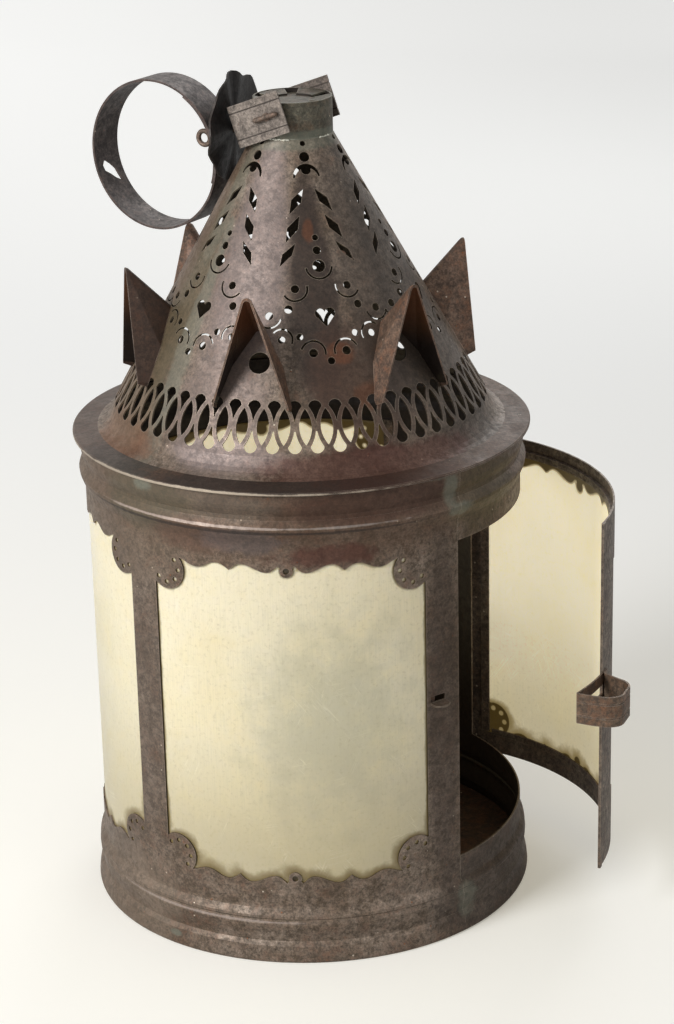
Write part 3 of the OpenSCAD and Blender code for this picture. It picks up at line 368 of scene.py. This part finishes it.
dress(["base_floor", "drip_pan", "candle_socket"],
      iron("floor_iron", ground=srgb(60, 47, 38), bloom=srgb(84, 68, 54), rust=srgb(78, 48, 30),
           bloom_share=0.35, rust_share=0.5, edge=0, sooty=0))
dress(["base_wire"], iron("rim_wire", edge=0, sooty=0))


# Wall. One bent sheet holds the three windows, with beads rolled along its base and under the brim. Two
# strips close it below and above the doorway. The edges of the cut-out borders are rubbed bright.
UPPER_BEAD = 218.5
LOWER_BEAD = 19.8
wall_stains_and_light = [
    # The pale patches on the left, at -60 and -62 degrees, are painted light; the dark patch at 60 degrees low     down is painted shade.
    (-60, 215, 34, 30, srgb(128, 112, 94), 0.6, 1.6),
    (-62, 18, 30, 24, srgb(140, 126, 110), 0.65, 1.6),
    (60, 16, 26, 30, srgb(66, 54, 45), 0.7, 1.6),
    (36.6, 120, 5.2, 90, srgb(78, 64, 54), 0.6, 1.2),
    (0, 225, 60, 22, srgb(106, 78, 56), 0.55, 2.4),
    (18, 228, 26, 9, srgb(82, 50, 34), 0.7, 2.0),
    (-28, 229, 22, 8, srgb(118, 110, 98), 0.6, 1.6),
    (-44, 224, 14, 14, OLIVE_GREY, 0.75, 1.6),
    (52, 222, 13, 18, srgb(104, 94, 70), 0.75, 1.4),
    (39, 228, 2.2, 9, SOLDER_GREY, 0.8, 1.8),
    (36, 236, 6, 2.2, SOLDER_GREY, 0.7, 2.0),
    (42, 217, 4, 3, SOLDER_GREY, 0.8, 2.0),
    (-43.4, 233, 3.2, 3.4, SOLDER_GREY, 0.9, 1.8),
    (5, 205, 12, 6, srgb(96, 50, 36), 0.7, 2.6),
    (-30, 213, 12, 8, srgb(112, 82, 66), 0.5, 2.6),
    (-15, 212, 12, 6, srgb(112, 106, 108), 0.5, 2.2),
    # The pale lines along the bead crests on the left are worn iron with a painted highlight; the dark line just     under the upper bead's crest is painted shade.
    (-26, UPPER_BEAD + 0.7, 30, 0.6, srgb(196, 190, 186), 0.75, 2.6),
    (6, UPPER_BEAD + 0.7, 18, 0.5, srgb(180, 172, 166), 0.7, 2.8),
    (-20, UPPER_BEAD - 1.6, 50, 0.8, DARK_BROWN, 0.7, 1.6),
    (-30, LOWER_BEAD + 1.0, 24, 0.6, srgb(190, 182, 174), 0.7, 2.6),
    (-62, 120, 26, 80, srgb(126, 114, 104), 0.5, 1.6),
    (43, 17, 3.5, 9, SOLDER_GREY, 0.6, 2.2),
    (-38, 6, 2.2, 1.6, SOLDER_GREY, 0.8, 2.0),
]
wall_iron = iron("wall_iron", stains_and_light=wall_stains_and_light, rust_share=0.36, bloom_share=0.42, specks=0.45)
dress(["window_wall", "sill_strip", "lintel_strip"], wall_iron)


# Horn panes. Plates of cattle horn, boiled, pressed thin and bent to the wall, let a warm light through,
# helped by a painted glow. They are creamy, with a grey patch of painted shade from the lantern's inside,
# olive near the iron borders, and painted dark where the borders cover them, as the borders' painted shadow.
PANE_THICK = 0.8
SHEET = 0.8
WALL_IN = 104.4
SEAT_GAP = 0.05
WINDOW_WIDE = 72.4
WINDOW_MIDS = {"front_pane": -4.9, "left_pane": -86.6, "back_pane": -168.3}
WINDOW_LOW, WINDOW_HIGH = 40.2, 201.0
PANE_OVER, PANE_LIFT = 1.4, 1.2
BORDER_KEYS = [(0.058, 0.3, 0), (0.135, 3.8, 1), (0.315, 0, 1), (0.4, 3.4, 0), (0.495, 0.4, 1),
               (0.646, 3.8, 1), (0.765, 1, 0)]
LOBE_R, LOBE_D = 3.1, 2.9
ROSETTE_R, ROSETTE_SIDE, ROSETTE_D = 10.0, 6.6, 7.6
ROSETTE_HOLE_R, ROSETTE_HOLE_AT = 1.2, 0.67


def half_border(half):
    """One half of a pierced border, as (distance from the middle, depth) in millimetres."""
    turns = [math.radians(b) for b in range(270, 391, 24)]
    line = [(LOBE_R * math.cos(b), LOBE_D - LOBE_R * math.sin(b)) for b in turns]
    for (s0, d0, smooth0), (s1, d1, smooth1) in zip(BORDER_KEYS, BORDER_KEYS[1:]):
        for t in (0, 0.2, 0.4, 0.6, 0.8):
            rise = {(1, 1): (1 - math.cos(math.pi * t)) / 2, (1, 0): 1 - math.cos(math.pi / 2 * t),
                    (0, 1): math.sin(math.pi / 2 * t), (0, 0): t}[smooth0, smooth1]
            line.append(((s0 + (s1 - s0) * t) * half, d0 + (d1 - d0) * rise))
    start = math.pi - math.asin((ROSETTE_D - 1) / ROSETTE_R)
    end = 2 * math.pi - math.acos(ROSETTE_SIDE / ROSETTE_R)
    for b in np.linspace(start, end, 13):
        line.append((half - ROSETTE_SIDE + ROSETTE_R * math.cos(b), ROSETTE_D - ROSETTE_R * math.sin(b)))
    return np.array(line)


def window_gap(points, half, low, high):
    """Distance in millimetres from each point to the window's edge, negative under the iron."""
    line = half_border(half)
    top = np.column_stack([line[:, 0], high - line[:, 1]])
    foot = np.column_stack([line[::-1, 0], low + line[::-1, 1]])
    right = np.vstack([top, foot])
    outline = np.vstack([right, (right * (-1, 1))[::-1]])
    a, b = outline, np.roll(outline, -1, axis=0)
    gap = np.full(len(points), 1e9)
    inside = np.zeros(len(points), bool)
    for p, q in zip(a, b):
        d = q - p
        t = np.clip(((points - p) @ d) / max(d @ d, 1e-12), 0, 1)
        gap = np.minimum(gap, np.linalg.norm(points - p - t[:, None] * d, axis=1))
        crosses = (p[1] > points[:, 1]) != (q[1] > points[:, 1])
        if p[1] != q[1]:
            inside ^= crosses & (points[:, 0] < p[0] + (points[:, 1] - p[1]) * d[0] / d[1])
    gap = np.where(inside, gap, -gap)
    for side in (-1, 1):
        for z, lean in ((low + ROSETTE_D, 1), (high - ROSETTE_D, -1)):
            for i in range(-2, 3):
                b = math.atan2(lean, -side) + math.radians(45) * i
                hole = (side * (half - ROSETTE_SIDE) + ROSETTE_HOLE_AT * ROSETTE_R * math.cos(b),
                        z + ROSETTE_HOLE_AT * ROSETTE_R * math.sin(b))
                gap = np.maximum(gap, ROSETTE_HOLE_R - np.linalg.norm(points - hole, axis=1))
    return gap


def steps(start, end, fine_zone, fine, coarse):
    """Places from start to end, close together near both ends."""
    near = np.arange(0, fine_zone, fine)
    middle = np.linspace(start + fine_zone, end - fine_zone, round((end - start - 2 * fine_zone) / coarse))
    return np.concatenate([start + near, middle, (end - near)[::-1]])


def pane_sheet(name, a0, a1, low, high, outer_r, window, turn=None):
    """A bent plate of horn between two azimuths and heights. window is its opening's half width in
    degrees, the radius that this is measured on, its lowest and highest line and its middle."""
    half_a, window_r, window_low, window_high, window_mid = window
    per_degree = math.pi * window_r / 180
    across = steps(a0 * per_degree, a1 * per_degree, 24, 0.7, 1.6) / per_degree
    up = steps(low, high, 20, 0.7, 2.2)
    grid_a, grid_z = np.meshgrid(across, up)
    flat = np.column_stack([(grid_a.ravel() - window_mid) * per_degree, grid_z.ravel()])
    gap = window_gap(flat, half_a * per_degree, window_low, window_high)
    angle = np.radians(grid_a.ravel())
    corners, data = [], []
    for r in (outer_r, outer_r - PANE_THICK):
        corners.append(np.column_stack([r * np.sin(angle), -r * np.cos(angle), grid_z.ravel()]) / MM)
        data.append(np.column_stack([flat[:, 0], flat[:, 1] - window_low, gap]))
    wide, tall = len(across), len(up)
    count = wide * tall
    faces = []
    for j in range(tall - 1):
        for i in range(wide - 1):
            k = j * wide + i
            faces.append((k, k + 1, k + wide + 1, k + wide))
            faces.append((count + k, count + k + wide, count + k + wide + 1, count + k + 1))
    edge = ([i for i in range(wide)] + [j * wide + wide - 1 for j in range(1, tall)]
            + [(tall - 1) * wide + i for i in range(wide - 2, -1, -1)]
            + [j * wide for j in range(tall - 2, 0, -1)])
    for k, after in zip(edge, edge[1:] + edge[:1]):
        faces.append((after, k, count + k, count + after))
    mesh = bpy.data.meshes.new(name)
    points = np.vstack(corners)
    if turn is not None:
        points = np.array([turn @ Vector(p) for p in points])
    mesh.from_pydata(points.tolist(), [], faces)
    attribute = mesh.attributes.new("window", "FLOAT_VECTOR", "POINT")
    attribute.data.foreach_set("vector", np.vstack(data).astype(np.float32).ravel())
    smooth = [len(f) == 4 and k < 2 * (tall - 1) * (wide - 1) for k, f in enumerate(faces)]
    mesh.polygons.foreach_set("use_smooth", smooth)
    made = bpy.data.objects.new(name, mesh)
    bpy.context.scene.collection.objects.link(made)
    return made


HORN_CREAM = srgb(224, 215, 188)
HORN_WARM = srgb(216, 202, 158)
HORN_GREY = srgb(170, 166, 142)
HORN_LOW = srgb(158, 146, 112)
HORN_OLIVE = srgb(106, 86, 34)
HORN_SHADE = srgb(60, 47, 20)

horn_plate, given, out = effect("horn plate", [
    ("Window", "Vector", None), ("Inner shade", "Float", 0.5), ("Warm", "Float", 0.4), ("Rim", "Float", 1.0),
    ("Seed", "Float", 0.0)], [("Color", "Color"), ("Roughness", "Float"), ("Height", "Float")])
tree = horn_plate
flat = shade(tree, "SeparateXYZ", {0: given["Window"]}).outputs
level = shade(tree, "CombineXYZ", {0: flat[0], 1: flat[1], 2: given["Seed"]}).outputs[0]
clouds = cloud(tree, level, 0.018, 4, 0.55)
mottle = cloud(tree, level, 0.09, 5, 0.6, 3.0)
drawn_out = shade(tree, "VectorMath", {0: level, 1: (2.2, 0.07, 1)}, operation="MULTIPLY").outputs[0]
fibre = cloud(tree, drawn_out, 0.8, 3, 0.6)
warmed = calc(tree, "MULTIPLY", fade(tree, clouds, 0.38, 0.66), given["Warm"])
colour = mix(tree, warmed, HORN_CREAM, HORN_WARM)
colour = mix(tree, calc(tree, "MULTIPLY", fade(tree, mottle, 0.5, 0.75), 0.35), colour, HORN_WARM)
# painted shade: a grey patch right of the middle stands in for the lantern's inside seen through the horn
inner_shade_spot = calc(tree, "SQRT", calc(tree, "ADD", calc(tree, "POWER", calc(tree, "ABSOLUTE", calc(
    tree, "DIVIDE", calc(tree, "SUBTRACT", flat[0], 20.0), 46.0)), 2), calc(tree, "POWER", calc(
        tree, "ABSOLUTE", calc(tree, "DIVIDE", calc(tree, "SUBTRACT", flat[1], 80.0), 62.0)), 2)))
inner_shaded = calc(tree, "MULTIPLY", fade(tree, calc(tree, "ADD", inner_shade_spot, calc(
    tree, "MULTIPLY", calc(tree, "SUBTRACT", mottle, 0.5), 1.4)), 1.25, 0.2), given["Inner shade"])
colour = mix(tree, inner_shaded, colour, HORN_GREY)
dim = calc(tree, "ADD", flat[1], calc(tree, "MULTIPLY", calc(tree, "SUBTRACT", clouds, 0.5), 60.0))
colour = mix(tree, fade(tree, dim, 95.0, 5.0, 0.0, 0.6), colour, HORN_LOW)
colour = mix(tree, fade(tree, fibre, 0.42, 0.7, 0.0, 0.16), colour, HORN_GREY)
speckle = cloud(tree, level, 0.5, 3, 0.7, 8.0)
colour = mix(tree, fade(tree, speckle, 0.5, 0.72, 0.0, 0.3), colour, HORN_LOW)


def scratches(tilt, seed):
    """Fine straight scratches in one direction, here and there."""
    turned = shade(tree, "VectorRotate", {"Vector": level, "Angle": math.radians(tilt)},
                   rotation_type="Z_AXIS").outputs[0]
    drawn = shade(tree, "VectorMath", {0: turned, 1: (1, 0.03, 1)}, operation="MULTIPLY").outputs[0]
    line = calc(tree, "ABSOLUTE", calc(tree, "SUBTRACT", cloud(tree, drawn, 0.35, 2, 0.5, seed), 0.5))
    here = fade(tree, cloud(tree, level, 0.05, 2, 0.5, seed + 3), 0.52, 0.66)
    return calc(tree, "MULTIPLY", fade(tree, line, 0.010, 0.002), here)


marks = calc(tree, "MAXIMUM", scratches(24, 1.0), calc(tree, "MAXIMUM", scratches(-38, 5.0),
                                                      scratches(78, 11.0)))
colour = mix(tree, calc(tree, "MULTIPLY", marks, 0.18), colour, srgb(244, 238, 214))
# The plate turns olive near the iron borders, in a band that widens towards the bottom.
rim_low = fade(tree, flat[1], 40.0, 4.0)
rim_wide = calc(tree, "MULTIPLY", calc(tree, "ADD", 1.4, calc(tree, "MULTIPLY", rim_low, 5.2)), calc(
    tree, "MULTIPLY", fade(tree, mottle, 0.3, 0.7, 0.45, 1.5), given["Rim"]))
rim = fade(tree, calc(tree, "DIVIDE", flat[2], rim_wide), 1.0, 0.0)
colour = mix(tree, calc(tree, "MULTIPLY", rim, 0.8), colour, HORN_OLIVE)
# Where the iron border covers the plate it is painted dark: a painted shadow of the border seen through the
# horn.
colour = mix(tree, fade(tree, flat[2], 0.15, -0.5), colour, HORN_SHADE)
tree.links.new(colour, out["Color"])
tree.links.new(fade(tree, mottle, 0.3, 0.7, 0.34, 0.5), out["Roughness"])
tree.links.new(calc(tree, "ADD", calc(tree, "MULTIPLY", clouds, 0.8), calc(tree, "ADD", calc(
    tree, "MULTIPLY", fibre, 0.06), calc(tree, "MULTIPLY", marks, 0.08))), out["Height"])


def horn(name, inner_shade, warm, rim, seed, painted_glow):
    """A material of horn. Its glow, in the plate's own colour, is a painted glow for light from behind
    shining through.
    """
    made = bpy.data.materials.new(name)
    made.use_nodes = True
    tree = made.node_tree
    tree.nodes.clear()
    spot = shade(tree, "Attribute", attribute_name="window").outputs["Vector"]
    skin = use(tree, horn_plate, {"Window": spot, "Inner shade": inner_shade, "Warm": warm, "Rim": rim, "Seed": seed})
    bumps = shade(tree, "Bump", {"Strength": 0.6, "Distance": 0.0006, "Height": skin["Height"]})
    surface = shade(tree, "BsdfPrincipled", {
        "Base Color": skin["Color"], "Roughness": skin["Roughness"], "Normal": bumps.outputs[0],
        "Subsurface Weight": 1.0, "Subsurface Radius": (1.0, 0.9, 0.62), "Subsurface Scale": 0.0007,
        "Coat Weight": 0.1, "Emission Color": skin["Color"], "Emission Strength": painted_glow})
    tree.links.new(surface.outputs[0], shade(tree, "OutputMaterial").inputs["Surface"])
    return made


# painted glow of each pane, standing in for light shining through
PANE_GLOW = {"front_pane": 0.10, "left_pane": 0.06, "back_pane": 0.8}
# strength of the painted shade patch on each pane
PANE_INNER_SHADE = {"front_pane": 0.6, "left_pane": 0.2, "back_pane": 0.2}
PANE_SEEDS = 70.0
for number, (name, mid) in enumerate(WINDOW_MIDS.items()):
    plate = pane_sheet(name + "_horn", mid - WINDOW_WIDE / 2 - PANE_OVER,
                       mid + WINDOW_WIDE / 2 + PANE_OVER, WINDOW_LOW - PANE_LIFT, WINDOW_HIGH + PANE_LIFT,
                       WALL_IN - SEAT_GAP, (WINDOW_WIDE / 2, WALL_IN + SHEET, WINDOW_LOW, WINDOW_HIGH, mid))
    plate.data.materials.append(horn(name + "_finish", PANE_INNER_SHADE[name], 0.4, 1.0, number * PANE_SEEDS,
                                     PANE_GLOW[name]))
    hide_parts(name)
    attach(plate, "lantern_body")
dress(["front_pane_strips", "left_pane_strips", "back_pane_strips"],
      iron("strip_iron", ground=srgb(60, 48, 40), edge=0, sooty=0))


# Brim. A flat ring with a folded hem, soldered on the wall and under the roof's foot. Its outer band is
# dark and red with rust, and the hem's edge on the left is rubbed bright, with a painted highlight on it.
BRIM_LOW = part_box("brim_ring")[0][2] * MM
brim_stains_and_highlight = [
    (-8, 237, 36, 3, srgb(50, 37, 31), 0.85, 1.0),
    (25, 237, 22, 3, srgb(74, 44, 30), 0.8, 1.6),
    (-55, 237, 14, 5, srgb(78, 76, 70), 0.8, 1.4),
    (-95, 237, 36, 6, srgb(116, 104, 98), 0.7, 1.2),
    (70, 237, 36, 6, srgb(104, 90, 82), 0.6, 1.4),
    # The pale line along the hem on the left is worn iron with a painted highlight.
    (-34, BRIM_LOW + 0.7, 46, 0.7, BRIGHT_IRON, 1.3, 2.2),
]
brim_iron = iron("brim_iron", stains_and_light=brim_stains_and_highlight, rust_share=0.5, specks=0.5, edge=0.7, wear=0.6)
dress(["brim_ring"], brim_iron)


# Roof. One sheet is rolled to a cone and lapped on the left, with a flared foot. Punches and chisels cut its
# gallery, hearts, crescents and lozenges. Solder has bled grey-green along the lap.
roof_stains_and_sheen = [
    # The pale mauve-grey patches on the cone's left, here and at -22 and -74 degrees, are painted sheen where     the lamp falls.
    (-26, 330, 21, 62, srgb(142, 130, 128), 0.85, 0.7),
    (-28, 262, 18, 26, srgb(136, 122, 116), 0.75, 0.9),
    (8, 316, 13, 52, srgb(52, 38, 30), 0.9, 1.4),
    (22, 272, 20, 30, srgb(80, 56, 42), 0.75, 2.0),
    (36, 316, 14, 60, srgb(86, 76, 68), 0.7, 1.2),
    (62, 300, 20, 90, srgb(78, 70, 63), 0.7, 1.2),
    (-66, 290, 15, 70, srgb(116, 106, 82), 0.85, 1.6),
    (-82, 330, 12, 50, srgb(122, 100, 80), 0.6, 1.6),
    (8, 339, 4, 5, ORANGE_RUST, 0.5, 2.2),
    (16, 288, 5, 4, ORANGE_RUST, 0.5, 2.2),
    (24, 270, 6, 5, ORANGE_RUST, 0.4, 2.2),
    (-50, 290, 4.5, 60, srgb(142, 142, 128), 0.75, 1.8),
    (-60, 350, 8, 26, srgb(138, 138, 124), 0.6, 1.8),
    (-66, 244, 16, 9, ORANGE_RUST, 0.6, 2.4),
    (-22, 246, 18, 6, srgb(158, 146, 146), 0.6, 1.4),
    (20, 242, 34, 7, srgb(92, 50, 36), 0.75, 1.8),
    (-74, 256, 20, 16, srgb(146, 126, 106), 0.6, 1.8),
    (0, 376, 180, 4, SOLDER_GREY, 0.6, 1.6),
]
ROOF_FOOT_TOP = 244
roof_iron = iron("roof_iron", stains_and_light=roof_stains_and_sheen, rust_share=0.3, bloom_share=0.45, specks=0.35, wear=0.45,
                 worn_from=ROOF_FOOT_TOP)
dress(["roof_cone"], roof_iron)


# Hoods. Six leaves of sheet are folded to peaks and soldered over the vent holes. Smoke has left their
# hollows black below and rusty at the top, and their edges have worn to pale iron.
HOOD_RUST_FROM, HOOD_RUST_TO = 284, 310
hood_hollow, given, out = effect("hollow of a hood", [
    ("Color", "Color", AGED_BROWN), ("Height", "Float", 0)], [("Color", "Color")])
tree = hood_hollow
facing_down = shade(tree, "SeparateXYZ", {0: shade(tree, "NewGeometry").outputs["True Normal"]}).outputs[2]
rusty_top = fade(tree, given["Height"], HOOD_RUST_FROM, HOOD_RUST_TO)
hollow = mix(tree, rusty_top, srgb(38, 27, 20), srgb(122, 80, 50))
hollow = mix(tree, 0.5, hollow, mix(tree, 1.0, hollow, given["Color"], "OVERLAY"))
tree.links.new(mix(tree, fade(tree, facing_down, 0.02, -0.1), given["Color"], hollow), out["Color"])

hood_iron = iron("hood_iron", ground=srgb(84, 66, 54), bloom=srgb(122, 100, 84), rust=srgb(92, 58, 38),
                 rust_share=0.4, bloom_share=0.4, worn=srgb(196, 174, 156), wear=0.6, edge=0.6, sooty=0,
                 stains_and_light=[(-76, 290, 24, 60, srgb(66, 49, 40), 0.8, 1.0)])
tree = hood_iron.node_tree
skin = next(n for n in tree.nodes if n.type == "BSDF_PRINCIPLED").inputs["Base Color"]
painted = skin.links[0].from_socket
where = use(tree, lantern_place)
tree.links.new(use(tree, hood_hollow, {"Color": painted, "Height": where["Height"]})[0], skin)
dress(["hood_%d" % k for k in range(1, 7)], hood_iron)


# Neck. A collar of sheet stands on the roof, with its top edge slit and folded in over a small cap. A ragged
# thread of pale solder holds its foot to the cone.
neck_iron = iron("neck_iron", ground=srgb(76, 72, 60), bloom=srgb(104, 101, 87), rust=srgb(72, 52, 36),
                 rust_share=0.4, bloom_share=0.45, worn=srgb(176, 174, 158), wear=0.5,
                 stains_and_light=[(0, 378, 180, 2.4, SOLDER_GREY, 0.7, 1.8)])
dress(["neck_collar", "neck_cap"], neck_iron)


def solder_run(name, spots, thick, seed):
    """A ragged thread of solder through the spots, in millimetres. It swells and thins at random."""
    dice = random.Random(seed)
    sides = 8
    corners, faces = [], []
    for before, spot, after in zip(spots[:1] + spots[:-1], spots, spots[1:] + spots[-1:]):
        along = (after - before).normalized()
        across = along.cross(Vector((spot.x, spot.y, 0))).normalized()
        outward = across.cross(along)
        swell = thick * dice.uniform(0.45, 1.3)
        middle = spot + across * thick * dice.uniform(-0.4, 0.4)
        for k in range(sides):
            turned = 2 * math.pi * k / sides
            corners.append((middle + (across * math.cos(turned) + outward * math.sin(turned)) * swell) / MM)
    for row in range(0, len(corners) - sides, sides):
        for k in range(sides):
            here, there = row + k, row + (k + 1) % sides
            faces.append((here, here + sides, there + sides, there))
    faces.append(tuple(range(sides)))
    faces.append(tuple(reversed(range(len(corners) - sides, len(corners)))))
    mesh = bpy.data.meshes.new(name)
    mesh.from_pydata(corners, [], faces)
    mesh.polygons.foreach_set("use_smooth", [True] * len(faces))
    made = bpy.data.objects.new(name, mesh)
    bpy.context.scene.collection.objects.link(made)
    return made


def round_spot(azimuth, radius, height):
    turned = math.radians(azimuth)
    return Vector((radius * math.sin(turned), -radius * math.cos(turned), height))


NECK_R, NECK_JOINT = 18.5, 376.5
SOLDER_OUT, SOLDER_STEP, SOLDER_SEED = 0.1, 2, 5
SOLDER_RUNS = ((-86, -4, 0.55), (40, 62, 0.45))
solder = iron("solder_metal", ground=srgb(150, 150, 136), bloom=srgb(206, 204, 190), rust=srgb(104, 92, 72),
              rust_share=0.25, bloom_share=0.6, edge=0, sooty=0)
for number, (start, end, thick) in enumerate(SOLDER_RUNS):
    spots = [round_spot(a, NECK_R + SOLDER_OUT, NECK_JOINT) for a in range(start, end, SOLDER_STEP)]
    seam = solder_run("collar_solder_%d" % (number + 1), spots, thick, number + SOLDER_SEED)
    seam.data.materials.append(solder)
    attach(seam, "lantern_body")


# Pins and hinges. Split pins of bent wire hold the yoke to the collar, and strap hinges with wire pins
# carry the door.
wire_iron = iron("wire_iron", ground=srgb(92, 78, 68), bloom=srgb(134, 120, 108), rust=srgb(82, 54, 38),
                 edge=0, sooty=0, metal=0.55)
dress(["front_pivot_pin", "back_pivot_pin", "ring_pin", "lower_hinge_pin", "upper_hinge_pin"], wire_iron)
hinge_iron = iron("hinge_iron", ground=srgb(80, 68, 60), edge=0, sooty=0)
dress(["lower_body_leaf", "upper_body_leaf", "lower_door_leaf", "upper_door_leaf"], hinge_iron)


# Door. A bent sheet with a window of its own, a folded free edge and folded channels that hold its pane
# from inside.
DOOR_IN = 106.0
DOOR_WINDOW_WIDE, DOOR_WINDOW_MID = 73.2, 87.7
DOOR_WINDOW_HIGH = 195.6
DOOR_PANE_A0, DOOR_PANE_A1 = 44.3, 123.3
DOOR_PANE_LOW, DOOR_PANE_HIGH = 40.2, 199.6
DOOR_OPEN = 27.2
DOOR_GLOW, DOOR_SEED = 0.78, 300.0

door_iron = iron("door_iron", ground=srgb(84, 72, 62), bloom=srgb(122, 110, 96), rust_share=0.3, wear=0.45,
                 sooty=0)
dress(["door_sheet", "door_top_channel", "door_bottom_channel", "door_edge_channel", "door_hinge_channel"],
      door_iron)
hinge = next(j for j in frame["joints"] if j["name"] == "door_hinge")
hinge_place = Matrix.Translation(hinge["pos_m"])
swung = hinge_place @ Matrix.Rotation(math.radians(DOOR_OPEN), 4, hinge["axis"]) @ hinge_place.inverted()
door_window = (DOOR_WINDOW_WIDE / 2, DOOR_IN + SHEET, WINDOW_LOW, DOOR_WINDOW_HIGH, DOOR_WINDOW_MID)
door_plate = pane_sheet("door_pane_horn", DOOR_PANE_A0, DOOR_PANE_A1, DOOR_PANE_LOW, DOOR_PANE_HIGH,
                        DOOR_IN - SEAT_GAP, door_window, swung)
door_plate.data.materials.append(horn("door_pane_finish", 0.1, 0.6, 1.0, DOOR_SEED, DOOR_GLOW))
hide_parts("door_pane")
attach(door_plate, "door")


# Hasp. A scored strap is folded round the door's edge to a finger loop, with a slot for the latch tongue.
strap_iron = iron("strap_iron", ground=srgb(96, 86, 79), bloom=srgb(126, 116, 107), rust=srgb(80, 58, 44),
                  rust_share=0.2, bloom_share=0.5, worn=srgb(196, 184, 172), wear=0.45, edge=0.4, sooty=0)
hasp_iron = iron("hasp_iron", ground=srgb(86, 71, 58), bloom=srgb(126, 108, 90), rust=srgb(92, 58, 36),
                 rust_share=0.4, bloom_share=0.4, worn=srgb(206, 192, 176), wear=0.5, edge=0.4, sooty=0)
dress(["hasp_loop"], hasp_iron)


# Handle. A strap bent to a yoke carries a ruffled heat shield and, on a split pin, the hand ring. Two lines
# scored along the strap hold dirt, and a second strip lines the ring where its ends meet.
STRAP_SCORE = 6.27
SCORE_EDGE, SCORE_DEEP = 0.55, 0.2
swing = next(j for j in frame["joints"] if j["name"] == "handle_swing")
ring_turn = next(j for j in frame["joints"] if j["name"] == "ring_swivel")
over_strap = Vector(ring_turn["axis"]).cross(Vector(swing["axis"])).normalized()
scored, given, out = effect("dirt in scored lines", [
    ("Color", "Color", AGED_BROWN), ("Place", "Vector", None)], [("Color", "Color")])
tree = scored
from_pin = shade(tree, "VectorMath", {0: given["Place"], 1: Vector(swing["pos_m"]) * MM},
                 operation="SUBTRACT")
height = shade(tree, "VectorMath", {0: from_pin.outputs[0], 1: over_strap}, operation="DOT_PRODUCT")
off_line = calc(tree, "ABSOLUTE", calc(tree, "SUBTRACT", calc(
    tree, "ABSOLUTE", height.outputs["Value"]), STRAP_SCORE))
dirt = fade(tree, off_line, SCORE_EDGE, SCORE_DEEP, 0.0, 0.8)
tree.links.new(mix(tree, dirt, given["Color"], DARK_BROWN), out["Color"])

tree = strap_iron.node_tree
skin = next(n for n in tree.nodes if n.type == "BSDF_PRINCIPLED").inputs["Base Color"]
painted = skin.links[0].from_socket
tree.links.new(use(tree, scored, {"Color": painted, "Place": use(tree, lantern_place)["Place"]})[0], skin)
dress(["yoke_strap"], strap_iron)
# The shield is painted near black: painted shade, for the shadowed face it turns to the view.
shaded_shield_iron = iron("shaded_shield_iron", ground=srgb(22, 18, 17), bloom=srgb(40, 34, 32), rust=srgb(30, 22, 18),
                   specks=0.1, worn=srgb(140, 122, 108), wear=0.4, edge=0.4, sooty=0)
dress(["heat_shield"], shaded_shield_iron)
ring_iron = iron("ring_iron", ground=srgb(62, 53, 50), bloom=srgb(98, 88, 83), rust=srgb(64, 44, 36),
                 rust_share=0.3, bloom_share=0.35, specks=0.2, worn=srgb(140, 104, 84), wear=0.5, edge=0.4,
                 sooty=0)
dress(["ring_handle", "ring_patch"], ring_iron)
